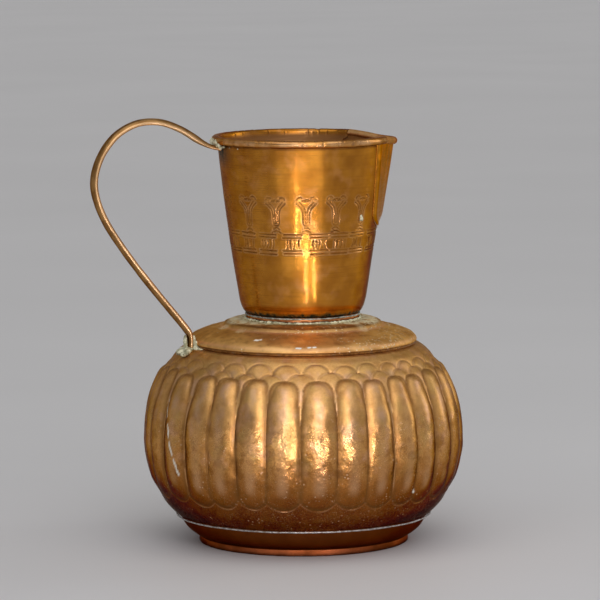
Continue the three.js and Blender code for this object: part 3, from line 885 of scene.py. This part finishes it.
NECK_COLUMNS = 600
NECK_SHARE = np.linspace(0, 1, NECK_COLUMNS + 1)  # of the way round, from one side of the slit to the other
NECK_TOP = RIM_LEVEL - BEAD_RADIUS
WALL_LEVEL = NECK_FOOT_LEVEL + 14
ROLL = np.linspace(math.pi, -0.6 * math.pi, 11)  # angles of the rim's roll over its wire, in radians
MOTIF_LEVEL = 241.8  # middle of the tulips
BAND_LEVEL = 219.0  # middle of the stamped band
MOTIFS = 11
FIRST_MOTIF = 57.0
MOTIF_DRIFT = (0, 0, 0, 0, 0, 1.2, 3.6, 2.7, 1.2, -0.6, -1.5)  # how far each stands from an even place
MOTIF_REACH = 11  # degrees that a motif or an oblong covers each way
BLOCK_STEPS = (18.1, 18.4, 20.6, 21.2, 16.6, 17.2, 20.5)  # across the side in view
BLOCKS = 19
FIRST_BLOCK = FRONT - 64.8
# A tulip's right half, as (across, up) places and points of each line, and its arcs.
TULIP_HALF = (
    (((7.4, 6.6), (5.6, 4.8), (2.4, 3.4), (2.3, -2.0)), 10),
    (((5.2, 7.6), (3.6, 5.2), (0.8, 4.2), (0.75, -0.5)), 10),
    (((2.3, -2.0), (2.2, -7.4)), 2),
    (((0.75, -0.5), (0.8, -6.6)), 2),
    (((7.2, 9.2), (5.6, 12.0), (3.2, 10.2)), 6),
    (((3.0, 8.2), (2.0, 9.6), (1.0, 8.0)), 5),
)
TULIP_ARCS = (  # level, radius, first and last angle, points
    (-7.4, 2.2, 190, 350, 8),
    (-6.8, 0.8, 190, 350, 5),
    (-14.0, 3.0, 38, 142, 7),
    (-18.4, 5.0, 48, 132, 7),
)


def neck_wall():
    """Fine outline of the neck's outside, from the flat under its corner to the rim."""
    top = NECK_FOOT_RADIUS, WALL_LEVEL
    corner = (THROAT_RADIUS + 2, NECK_FOOT_LEVEL), (NECK_FOOT_RADIUS - 1.7, NECK_FOOT_LEVEL + 2.6), top
    wall = top, (55.2, 234), (RIM_RADIUS - WIRE_BORE, NECK_TOP)
    return joined(bezier(corner, 120), bezier(wall, 300))


def neck_radius(level):
    wall = neck_wall()
    return np.interp(level, wall[:, 1], wall[:, 0])


def unrounded(level):
    """How much of the beak's rounding at its foot is still to come, from 1 to 0."""
    return max(0, 1 - (level - SPOUT_FOOT_LEVEL) / SPOUT_ROUNDING)


def beak_plan(level):
    """The beak's measures at a height: its circle, joint angle, tip and nose radius."""
    circle_radius = neck_radius(level) + GAP + SHEET
    raised = max(0, level - SPOUT_FOOT_LEVEL - SPOUT_ROUNDING)
    growth = math.sqrt(max(0, 1 - unrounded(level) ** 2))
    half = (34.5 + 0.15 * raised) * growth
    reach = (4.6 + 0.048 * raised) * growth
    nose = max(SHEET + GAP, SPOUT_NOSE_RADIUS * growth)
    return circle_radius, math.asin(half / circle_radius), circle_radius + reach, nose


def block_centres():
    rest = BLOCKS - len(BLOCK_STEPS)
    even = (360 - sum(BLOCK_STEPS)) / rest
    return FIRST_BLOCK + np.r_[0, np.cumsum(np.r_[BLOCK_STEPS, np.full(rest - 1, even)])]


def tulip_strokes():
    """Chased lines of one tulip, as (across, up) places in millimetres round its middle."""
    lines = [bezier(points, count) * (side, 1) for side in (-1, 1) for points, count in TULIP_HALF]
    for level, radius, first, last, count in TULIP_ARCS:
        lines.append(arc((0, level), radius, math.radians(first), math.radians(last), count))
    return lines + [bezier([(-1.3, 8.2), (0.2, 10.6), (1.2, 8.0)], 6)]


def block_strokes(index):
    """Chased lines of one oblong of the band: double lines above and below, bars between."""
    chance = np.random.default_rng(40 + index).uniform(-1, 1, 9)
    lines = [np.array([(-6.7, h), (6.7, h)]) for h in (7.2, 4.9, -4.6, -6.9)]
    lines = [line + (0.5 * chance[i], 0.3 * chance[i + 1]) for i, line in enumerate(lines)]
    bars = 3 + index % 2
    for bar in range(bars):
        place = -4.2 + 8.4 * bar / (bars - 1) + 0.4 * chance[bar]
        bend = 1.6 * chance[4 + bar % 4]
        lines.append(bezier([(place, 3.0), (place + bend, 0), (place - 0.6 * bend, -2.9)], 6))
    lines.append(bezier([(-2.6, 2.4), (-1.4 + chance[3], 0.4), (-2.4, -1.6)], 5))
    tilt = math.radians(2 * chance[8])
    turned = np.array([(math.cos(tilt), math.sin(tilt)), (-math.sin(tilt), math.cos(tilt))])
    return [line @ turned for line in lines]


def chased_places():
    """Angle, level and strokes of every tulip and oblong."""
    tulip = tulip_strokes()
    for k in range(MOTIFS):
        angle = FIRST_MOTIF + MOTIF_DRIFT[k] + k * (360 - 2 * FIRST_MOTIF) / (MOTIFS - 1)
        size, _, rise = np.random.default_rng(60 + k).uniform(-1, 1, 3)
        yield angle, MOTIF_LEVEL + 0.6 * rise, [line * (1 + 0.07 * size) for line in tulip]
    for k, angle in enumerate(block_centres()):
        yield angle, BAND_LEVEL, block_strokes(k)


def neck_relief(turn, level, radius):
    """How far the neck's wall stands out, its chased cuts and the burrs beside them."""
    away = np.full((len(level), len(turn)), FAR)
    for angle, middle, strokes in chased_places():
        off = nearest(turn, angle)
        near = np.abs(off) < MOTIF_REACH
        across = np.radians(off[near]) * radius
        best = away[:, near]
        for line in strokes:
            for (a, b), (da, db) in zip(line, np.diff(line, axis=0)):
                best = np.minimum(best, from_stroke(across - a, level - middle - b, da, db)[0])
        away[:, near] = best
    struck = 0.75 + 0.35 * ripples(46, turn, level, 110, 6)
    cut = bell(away, 0.36) * struck
    burr = bell(away - 0.85, 0.34) * struck
    waves = 0.13 * ripples(41, turn, level, 24, 30) + 0.06 * ripples(42, turn, level, 60, 14)
    push = waves * ease(level, NECK_FOOT_LEVEL + 4, WALL_LEVEL) - 0.5 * cut + 0.16 * burr
    return push, np.clip(cut, 0, 1), np.clip(burr, 0, 1)


def neck_stain_and_shade(turn, level):
    """Dark green stains by the handle's end, and a ragged dark band on the neck's rounded foot round the
    solder, partly stain and partly painted shade.
    """
    by_handle = ease(level, 266, 283) * bell(nearest(turn, 179), 13)
    down_side = 0.6 * ease(level, 240, 274) * bell(nearest(turn, 164), 9)
    # painted shade, with solder stain, in a ragged band on the neck's rounded foot
    edge = NECK_FOOT_LEVEL + 2.4 + 1.5 * ripples(45, turn, 0.5, 110, 1)
    return np.maximum(np.maximum(by_handle, down_side), 1 - ease(level, edge - 1, edge + 0.6))


def neck_rows():
    """The neck's outer outline, and the number of its row at the foot of the slit."""
    wall = neck_wall()
    flat = [(THROAT_RADIUS, NECK_FOOT_LEVEL), (THROAT_RADIUS + 1, NECK_FOOT_LEVEL)]
    corner = along(wall, np.linspace(0, lengths_of(wall)[120], 12))
    spans = (WALL_LEVEL + 3, 9), (209, 33), (SPOUT_FOOT_LEVEL, 54), (256, 8), (NECK_TOP - 4, 7)
    levels = spaced(spans, NECK_TOP)
    outline = np.vstack([flat, corner, np.stack([neck_radius(levels), levels], 1)])
    return outline, int(np.argmin(np.abs(outline[:, 1] - SPOUT_FOOT_LEVEL)))


def slit_half(level):
    """Half the angle of the slit that opens behind the beak, in degrees."""
    if level <= SPOUT_FOOT_LEVEL + 1e-6:
        return 0.0
    near_rim = ease(level, NECK_TOP - 1.5, NECK_TOP)
    joint = beak_plan(min(level, NECK_TOP))[1] - 0.01
    return math.degrees(joint * (1 - near_rim) + LIP_JOINT * near_rim)


def round_slit(half):
    """Angles of the neck's columns from one side of the slit round to the other."""
    return half + NECK_SHARE * (360 - 2 * half)


def neck_faces(rows, pairs, slit_row):
    """Faces over the outer rows and the inner rows; pairs has the outer row beside each inner row."""
    cols = NECK_COLUMNS + 1
    first = rows * cols
    faces = grid_faces(rows, cols, wrap_cols=False)
    faces += grid_faces(len(pairs), cols, first, wrap_cols=False)
    for j in range(NECK_COLUMNS):
        for a, b in ((j, first + j), (first - cols + j, first + (len(pairs) - 1) * cols + j)):
            faces.append([a, a + 1, b + 1, b])
    for column in (0, NECK_COLUMNS):
        for j, (low, high) in enumerate(zip(pairs, pairs[1:])):
            if low >= slit_row:
                strip = [row * cols + column for row in range(low, high + 1)]
                faces.append(strip + [first + (j + 1) * cols + column, first + j * cols + column])
    return faces


def rim_roll(turn):
    """The rolled rim's bore and outside as rings, and the pits in its outside."""
    dents = 0.07 * ripples(43, turn, np.zeros((len(ROLL), 1)), 90, 3)
    pits = ease(ripples(44, turn, np.linspace(0, 3, len(ROLL))[:, None], 240, 1), 0.5, 0.85)
    rings = []
    for radius in (WIRE_BORE, BEAD_RADIUS + dents - 0.3 * pits):
        out, up = radius * np.cos(ROLL)[:, None], radius * np.sin(ROLL)[:, None]
        rings.append(round_axis(RIM_RADIUS + out, turn, RIM_LEVEL + up))
    return *rings, pits


def neck_piece():
    """The neck's sheet from its foot to its rolled rim, with a slit that opens behind the beak."""
    outline, slit_row = neck_rows()
    count = len(outline)
    picked = sorted({*range(0, slit_row, 6), *range(slit_row, count, 6), count - 1})
    radius, level = outline[:, :1], outline[:, 1:]
    turn = round_slit(np.array([[slit_half(height)] for height in outline[:, 1]]))
    # The relief is worked out on even columns and read back at the columns that the slit has moved.
    even = NECK_SHARE * 360
    push, cut, burr = (
        np.array([np.interp(row, even, values) for row, values in zip(turn, field)])
        for field in neck_relief(even, level, radius)
    )
    # painted shade in a dark line under the rim's bead
    under_bead = ease(level, NECK_TOP - 2.2, NECK_TOP - 0.8) * (0.95 + 0.35 * ripples(47, turn, 0.5, 120, 1))
    normal = outward(outline)[:, None]
    outside, inside = (outline[:, None] + normal * (push - depth)[..., None] for depth in (0, SHEET))
    rim_turn = round_slit(math.degrees(LIP_JOINT))
    bore, roll, pits = rim_roll(rim_turn)
    sides = (
        round_axis(outside[..., 0], turn, outside[..., 1]),
        bore,
        round_axis(inside[..., 0], turn, inside[..., 1])[picked],
        roll,
    )

    def laid(outer, inner=0, rolled=0):
        values = zip((outer, 0, inner, rolled), sides)
        return np.vstack([np.broadcast_to(value, side.shape[:2]) for value, side in values])

    # painted shade that dims the bead near the spout
    by_spout = 0.75 * (1 - ease(np.abs(nearest(rim_turn, 0)), 34, 52))
    marks = {
        "recess": laid(np.clip(np.maximum(cut, under_bead), 0, 1), 0, np.maximum(pits, by_spout)),
        # painted highlights on the burrs beside the cuts and along the bead's top
        "wear": laid(0.7 * burr, 0, bell(ROLL - 0.1, 0.9)[:, None]),
        "inside": laid(0, 1),
        "stain_and_shade": laid(neck_stain_and_shade(turn, level)),
    }
    rows = count + len(ROLL)
    faces = neck_faces(rows, [*picked, *range(count, rows)], slit_row)
    points = np.vstack(sides).reshape(-1, 3)
    add_piece("tapered_neck", points, faces, ["neck_cup"], "neck_copper", NECK, marks, 50, weld=0.001)


def rim_wire_piece():
    wire = circle(1.2, 10)
    turn = round_slit(math.degrees(LIP_JOINT))[::4, None]
    grid = round_axis(RIM_RADIUS + wire[:, 0], turn, RIM_LEVEL + wire[:, 1])
    capped("rolled_in_wire", grid, ["rim_wire"], "solder", SOLDER)


# ---- spout


def nose_angle(circle_radius, joint, tip, nose):
    across = circle_radius * math.sin(joint)
    ahead = circle_radius * math.cos(joint) - (tip - nose)
    return math.atan2(across, ahead) - math.acos(nose / math.hypot(ahead, across))


def beak_face(plan, depth):
    """One face of the beak in plan, as a line of points: lap, side, round nose, side, lap."""
    circle_radius, joint, tip, nose = plan
    meeting = nose_angle(*plan)
    between = (joint + meeting) / 2
    corner = circle_radius * np.array([math.cos(joint), math.sin(joint)])
    corner = corner - depth * np.array([math.cos(between), math.sin(between)])
    thinned = 0.8 * SHEET * np.linspace(1, 0, 4)[:, None] * (depth == 0)
    lapped = arc((0, 0), 1, joint + SPOUT_LAP, joint + SPOUT_LAP * 0.3, 4)
    lapped = lapped * (circle_radius - depth - thinned)
    front = arc((tip - nose, 0), nose - depth, meeting, -meeting, 17)
    side = corner + (front[0] - corner) * np.linspace(0, 1, 12)[:-1, None]
    half = np.vstack([lapped, side])
    return np.vstack([half, front, half[::-1] * (1, -1)])


def droop(x):
    start = RIM_RADIUS * math.cos(LIP_JOINT)
    return LIP_DROOP * ease(x, start, LIP_REACH)


def beak_levels():
    rounding = SPOUT_FOOT_LEVEL + SPOUT_ROUNDING
    growing = rounding - SPOUT_ROUNDING * np.cos(np.linspace(0.06, 0.5, 14) * math.pi)
    return np.r_[growing, np.linspace(rounding, RIM_LEVEL - BEAD_RADIUS / 2, 22)[1:]]


def beak_rings(depth):
    """The beak's face at a depth in its sheet, one ring for each level."""
    levels = beak_levels()
    rings = []
    for level in levels:
        flat = beak_face(beak_plan(level), depth)
        sinking = (level - SPOUT_FOOT_LEVEL) / (levels[-1] - SPOUT_FOOT_LEVEL)
        rings.append(np.c_[flat, level - droop(flat[:, 0]) * sinking])
    return np.array(rings)


def beak_piece():
    outer, inner = beak_rings(0), beak_rings(SHEET)
    angle = np.degrees(np.arctan2(outer[..., 1], outer[..., 0]))
    out = outer[..., :2] / np.linalg.norm(outer[..., :2], axis=-1)[..., None]
    outer[..., :2] += out * 0.12 * ripples(51, angle, outer[..., 2], 60, 18)[..., None]
    loops = np.concatenate([outer, inner[:, ::-1]], 1)
    count = outer.shape[1]
    place = np.arange(2 * count)
    edge = 0.2 * ((place == 0) | (place == count - 1))
    marks = {"recess": edge, "inside": place >= count}
    capped_loops("folded_beak", loops, ["spout_beak"], "neck_copper", BEAK, **marks)


def rod_piece():
    joint = LIP_JOINT - 1.5 * GAP / RIM_RADIUS
    line = beak_face((RIM_RADIUS, joint, LIP_REACH, SPOUT_NOSE_RADIUS), 0)[4:-4]
    path = evenly(np.c_[line, RIM_LEVEL - droop(line[:, 0])], 70)
    path[1:-1] = (path[:-2] + 2 * path[1:-1] + path[2:]) / 4
    size = 1 + 0.03 * ripples(52, np.linspace(0, 300, len(path)), 0.5, 30, 1)
    rod = sweep(path, circle(BEAD_RADIUS, 20), size)
    worn = 1 - ease(path[:, :1], 60, 67)
    capped("spout_edge_rod", rod, ["spout_lip"], "red_copper", RED, wear=worn)


def beak_seam():
    """The solder run along the beak's lapped edge, down one side and up the other."""
    clear, drop = 0.15, 1.3
    side = []
    for level in beak_levels()[::-1]:
        low = level - drop * unrounded(level)
        out = neck_radius(low) + clear
        turn = beak_plan(level)[1] + SPOUT_LAP + clear / out
        side.append((out * math.cos(turn), out * math.sin(turn), low))
    side = np.array(side)
    bottom = (neck_radius(SPOUT_FOOT_LEVEL) + clear, 0, SPOUT_FOOT_LEVEL - drop)
    line = evenly(np.vstack([side, bottom, side[::-1] * (1, -1, 1)]), 160)
    size = 0.46 * (1 + 0.2 * ripples(53, np.linspace(0, 360, len(line)), 0.5, 40, 1))
    capped("beak_seam_solder", sweep(line, circle(1, 8), size), ["spout_solder"], "solder", FILLET)


# ---- handle and solder


HANDLE_LINE = (  # places in the jug's middle plane, as (x, z), from the foot to the rim
    *((-85.6, 143.6), (-85.6, 149.2), (-86.0, 152.4), (-87.8, 155.3), (-96.2, 165.8), (-118, 192.8)),
    *((-137.4, 219.3), (-150.1, 241.1), (-155.4, 262), (-151.4, 279.4), (-139.4, 296), (-122.4, 305)),
    *((-104, 305), (-87.2, 298.3), (-74.3, 289.9), (-67.4, 286.6), (-61.6, 285.3)),
)
HANDLE_PLACES = np.insert(HANDLE_LINE, 1, 0.0, axis=1)
HANDLE_WIDTH = 9
HANDLE_CROWN = 3.2
HANDLE_EDGE = 1.5
# Balls of solder, as a place and three radii, beside the handle's foot and under it.
FOOT_SIDES = (
    ((3.2, -2.0, 3.8), (1.4, 2.6, 4.6)),
    ((3.6, -5.0, 1.0), (1.8, 3.0, 4.2)),
    ((4.0, -7.0, -0.9), (2.9, 3.8, 1.7)),
    ((5.2, -10.6, -1.3), (2.2, 3.2, 1.5)),
    ((6.4, -13.4, -1.4), (1.8, 2.2, 1.6)),
    ((-2.6, -5.0, -2.4), (3.4, 4.4, 2.0)),
    ((-4.4, -7.0, -3.9), (2.4, 3.2, 1.6)),
    ((-5.6, -5.2, -5.0), (2.4, 3.0, 1.6)),
)
FOOT_MIDDLE = (
    ((-2.6, 0, 3.0), (1.4, 3.2, 6.2)),
    ((-6.2, 0, -3.2), (3.2, 5.4, 2.0)),
    ((0, 0, -1.6), (4.4, 5.6, 1.8)),
    ((3.4, 0, 0.6), (2.2, 4.2, 2.8)),
)
TOP_SIDES = (
    ((-2.4, 1.5, 0.3), (1.9, 2.6, 1.6)),
    ((-0.7, 5.0, 0.4), (1.4, 1.6, 1.4)),
    ((-1.2, 3.2, 1.6), (1.6, 2.4, 1.5)),
)
RIM_DROPS = (  # angle, distance from the axis, depth under the rim's middle, radii
    (168, 64.1, 1.4, (1.7, 4.2, 2.9)),
    (174, 64.3, 1.6, (1.7, 4.4, 3.0)),
    (180, 64.2, 1.8, (1.7, 4.0, 2.9)),
    (184, 63.6, 3.0, (1.4, 2.4, 1.6)),
    (188.5, 62.0, 4.0, (1.1, 1.7, 1.0)),
    (195, 61.4, 4.2, (0.6, 0.7, 0.5)),
    (204, 61.2, 4.4, (0.5, 0.6, 0.45)),
)


def handle_section():
    """The strap's D-shaped section of (across, out) points: flat inside, crowned outside."""
    half = HANDLE_WIDTH / 2
    corner = half - HANDLE_EDGE
    crown = np.linspace(0, math.pi, 19)
    hollow = -2 * HANDLE_EDGE + 0.12
    return joined(
        arc((corner, -HANDLE_EDGE), HANDLE_EDGE, -math.pi / 2, 0, 6),
        np.stack([half * np.cos(crown), HANDLE_CROWN * np.sin(crown) - HANDLE_EDGE], 1),
        arc((-corner, -HANDLE_EDGE), HANDLE_EDGE, math.pi, 1.5 * math.pi, 6),
        [(-corner / 2, hollow), (0, hollow + 0.03), (corner / 2, hollow)],
    )


def handle_piece():
    path = evenly(smooth_line(HANDLE_PLACES, 20), 320)
    section = handle_section()
    travel = lengths_of(path)
    total = travel[-1]
    wide = 1 + 0.06 * (1 - ease(travel, 6, 22))
    thick = (1 - 0.36 * (1 - ease(travel, 6, 12))) * (1 - 0.34 * ease(travel, total - 20, total - 5))
    rings = sweep(path, section, np.stack([wide, thick], 1))
    travel = travel[:, None]
    spot = np.arange(len(section)) * 360 / len(section)
    away = rings - path[:, None]
    away /= np.linalg.norm(away, axis=-1)[..., None]
    rings = rings + away * 0.14 * ripples(61, spot, travel, 8, 9)[..., None]
    across, out = section.T
    # painted highlight, with wear, along both inner edges
    edges = bell(np.abs(across) - HANDLE_WIDTH / 2 + 0.6, 1.2) * (out < -0.7)
    edges = edges * (0.75 + 0.25 * ripples(62, 0.0, travel, 8, 14))
    crown = out > 0.6
    # painted highlight, with rubbing, on the crown near the top of the arch
    top = crown * bell(travel - 225, 30) * ease(ripples(63, spot, travel, 8, 7), 0.1, 0.7)
    lines = crown * ease(ripples(64, spot, travel, 40, 60), 0.1, 0.6)
    marks = {"wear": np.maximum(edges, top), "recess": lines}
    capped("loop_handle", rings, ["handle_bar"], "belly_copper", HANDLE, **marks)


def solder_skin(name, balls, voxel):
    """One softened skin over overlapping balls: its points and normals in millimetres, and its faces."""
    mesh = bpy.data.meshes.new(name)
    work = bmesh.new()
    for place, radii in balls:
        made = bmesh.ops.create_icosphere(work, subdivisions=3, radius=1)
        fit = Matrix.Translation(Vector(place) * MM) @ Matrix.Diagonal((*(Vector(radii) * MM), 1))
        bmesh.ops.transform(work, matrix=fit, verts=made["verts"])
    work.to_mesh(mesh)
    work.free()
    draft = new_object(name + "_draft", mesh)
    skin = draft.modifiers.new("skin", "REMESH")
    skin.mode = "VOXEL"
    skin.voxel_size = voxel * MM
    draft.modifiers.new("soften", "SMOOTH").iterations = 7
    skinned = bpy.data.meshes.new_from_object(draft.evaluated_get(bpy.context.evaluated_depsgraph_get()))
    bpy.data.objects.remove(draft)
    points, normals = np.zeros((2, len(skinned.vertices) * 3))
    skinned.vertices.foreach_get("co", points)
    skinned.vertices.foreach_get("normal", normals)
    faces = [list(polygon.vertices) for polygon in skinned.polygons]
    return points.reshape(-1, 3) / MM, normals.reshape(-1, 3), faces


def solder_lump(name, node, balls, voxel, seed):
    """Solder as one roughened skin over overlapping balls of (place, radii)."""
    points, normals, faces = solder_skin(name, balls, voxel)
    angle = np.degrees(np.arctan2(points[:, 1], points[:, 0]))
    lumpy = ripples(seed, angle * 3, points[:, 2], 210, 2.6)
    grainy = ripples(seed + 1, angle * 5, points[:, 2], 400, 1.1)
    points = points + normals * (0.2 * lumpy + 0.08 * grainy)[:, None]
    add_piece(name, points, faces, [node], "verdigris", CHALK, sharp=80)


def mirrored(place, balls):
    """Balls beside a place, each on both sides of the jug's middle plane."""
    return [(place + (x, side * y, z), radii) for (x, y, z), radii in balls for side in (-1, 1)]


def lumps():
    foot, end = HANDLE_PLACES[0], HANDLE_PLACES[-1]
    balls = [(foot + place, radii) for place, radii in FOOT_MIDDLE] + mirrored(foot, FOOT_SIDES)
    solder_lump("handle_foot_lump", "handle_foot_solder", balls, 0.55, 71)
    drops = [(round_axis(out, turn, RIM_LEVEL - drop), radii) for turn, out, drop, radii in RIM_DROPS]
    solder_lump("handle_top_lump", "handle_top_solder", mirrored(end, TOP_SIDES) + drops, 0.36, 75)
    level = middle_level("pinhole_solder")
    spot = round_axis(neck_radius(level), -58.4, level)
    balls = [(spot, (1.5, 2.1, 2.0)), (spot + (0, 0, 1.2), (1.1, 1.3, 1.8))]
    solder_lump("pinhole_dot", "pinhole_solder", balls, 0.25, 78)


# ---- studio


CAMERA_PITCH = math.radians(6.55)
CAMERA_ROLL = math.radians(0.27)
CAMERA_DISTANCE = 2.896
CAMERA_HEIGHT = 0.5063
CAMERA_SIDE = -0.0019
LENS = 243
SENSOR = 36
NEAR_LIGHT = 0.6  # lights nearer than this show in the metal, but not on the floor
LIGHT_AIM = (0, 0, 0.14)
LIGHTS = (  # name, degrees to the right of the camera's direction, height, distance, size, power, colour
    ("streak_high", -7, 0.108, 0.42, (0.009, 0.05), 0.07, (0.92, 0.86, 1)),
    ("streak_low", 6, 0.045, 0.42, (0.008, 0.06), 0.07, (0.92, 0.82, 1)),
    ("streak_right", 18, 0.05, 0.42, (0.008, 0.07), 0.07, (0.9, 0.84, 1)),
    ("low_middle", 2, 0.085, 0.48, (0.12, 0.2), 0.03, (1, 1, 1)),
    ("low_front", -4, 0.08, 0.5, (0.6, 0.2), 0.19, (1, 1, 1)),
    ("front", 14, 0.3, 1.1, (0.6, 0.8), 0.95, (0.96, 0.86, 1)),
    ("key", 6, 1.0, 1.6, (0.8, 0.9), 4.0, (0.92, 0.92, 1)),
    ("side", 108, 0.7, 1.6, (0.6, 1.2), 2.6, (1, 1, 1)),
)


def make_camera():
    back = Vector(round_axis(math.cos(CAMERA_PITCH), FRONT, math.sin(CAMERA_PITCH)))
    right = Vector(round_axis(1, FRONT + 90, 0))
    up = back.cross(right)
    c, s = math.cos(CAMERA_ROLL), math.sin(CAMERA_ROLL)
    data = bpy.data.cameras.new("camera")
    data.lens = LENS
    data.sensor_width = SENSOR
    camera = new_object("camera", data)
    place = Vector(round_axis(CAMERA_DISTANCE, FRONT, CAMERA_HEIGHT)) + CAMERA_SIDE * right
    axes = Matrix((c * right - s * up, s * right + c * up, back)).transposed()
    camera.matrix_world = Matrix.Translation(place) @ axes.to_4x4()
    bpy.context.scene.camera = camera


def softbox(name, side, height, distance, size, power, colour):
    data = bpy.data.lights.new(name, "AREA")
    data.shape = "RECTANGLE"
    data.size, data.size_y = size
    data.energy = power
    data.color = colour
    light = new_object(name, data)
    light.location = round_axis(distance, FRONT + side, height)
    light.rotation_euler = (Vector(LIGHT_AIM) - light.location).to_track_quat("-Z", "Y").to_euler()
    light.visible_camera = False
    light.visible_diffuse = distance > NEAR_LIGHT


def make_world():
    """A grey room: light at the height of the eye, dark overhead and to the left."""
    world = bpy.data.worlds.new("studio")
    world.use_nodes = True
    nodes, link = world.node_tree.nodes, world.node_tree.links.new
    split = nodes.new("ShaderNodeSeparateXYZ")
    link(nodes.new("ShaderNodeTexCoord").outputs["Generated"], split.inputs[0])
    both = nodes.new("ShaderNodeMath")
    both.operation = "MULTIPLY"
    for slot, axis, *ends in ((0, "Z", 0.0, 0.9, 1.0, 0.62), (1, "X", -1.0, 1.0, 0.65, 1.0)):
        fade = nodes.new("ShaderNodeMapRange")
        for name, value in zip(("From Min", "From Max", "To Min", "To Max"), ends):
            fade.inputs[name].default_value = value
        link(split.outputs[axis], fade.inputs["Value"])
        link(fade.outputs[0], both.inputs[slot])
    ground = nodes["Background"]
    ground.inputs["Color"].default_value = (0.52, 0.52, 0.54, 1)
    link(both.outputs[0], ground.inputs["Strength"])
    bpy.context.scene.world = world


def make_sun():
    """A wide soft sky light, high in front of the jug."""
    data = bpy.data.lights.new("sky", "SUN")
    data.energy = 0.9
    data.angle = math.radians(80)
    rise = math.radians(62)
    away = Vector(round_axis(math.cos(rise), FRONT + 3, math.sin(rise)))
    new_object("sky", data).rotation_euler = away.to_track_quat("Z", "Y").to_euler()


def make_floor():
    half = 25
    corners = [(-half, -half, 0), (half, -half, 0), (half, half, 0), (-half, half, 0)]
    mesh = bpy.data.meshes.new("floor")
    mesh.from_pydata(corners, [], [(0, 1, 2, 3)])
    pale = Finish("pale_floor", (0.66, 0.65, 0.64), 0.6)
    pale.paint((0.72, 0.71, 0.7), pale.noise(400, 2))
    mesh.materials.append(pale.done(0.0))
    floor = new_object("floor", mesh)
    floor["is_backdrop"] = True


def make_studio():
    bpy.context.scene.view_settings.view_transform = "Standard"
    make_world()
    make_sun()
    make_floor()
    for light in LIGHTS:
        softbox(*light)


make_camera()
make_studio()
plate_piece()
foot_piece()
dish_piece()
foot_seam = FOOT_RADIUS - 2 * SHEET - GAP - 1.3, SHEET + 1.3, 0.8
solder_ring("foot_seam", "foot_solder", *foot_seam, 81, 0.1, 0.2)
solder_ring("belly_seam", "belly_seam_solder", SEAM_RADIUS, SEAM_LEVEL - 1.2, 0.62, 82, 0.2, 0.2)
belly_piece()
cap_seam = LIP_RADIUS - 1.9, LIP_LEVEL - 2.3, 1.1
solder_ring("shoulder_seam", "shoulder_solder", *cap_seam, 86, 0.1, 0.2, material=SEAM)
cap_piece()
collar_seam = THROAT_RADIUS + SHEET + 1.5, STEP_LEVEL + 0.5, 0.9
solder_ring("collar_seam", "collar_solder", *collar_seam, 90, 0.3, 0.5, "verdigris", CHALK)
collar_piece()
neck_seam = THROAT_RADIUS + SHEET + 1.4, NECK_FOOT_LEVEL - 1.0, 0.5
solder_ring("neck_seam", "neck_solder", *neck_seam, 94, 0.2, 0.5, material=PALE)
neck_piece()
rim_wire_piece()
beak_piece()
rod_piece()
beak_seam()
handle_piece()
lumps()

sizes = {"cad": CAD_BOX, "visual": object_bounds()}
{key: [list(corner) for corner in corners] for key, corners in sizes.items()}
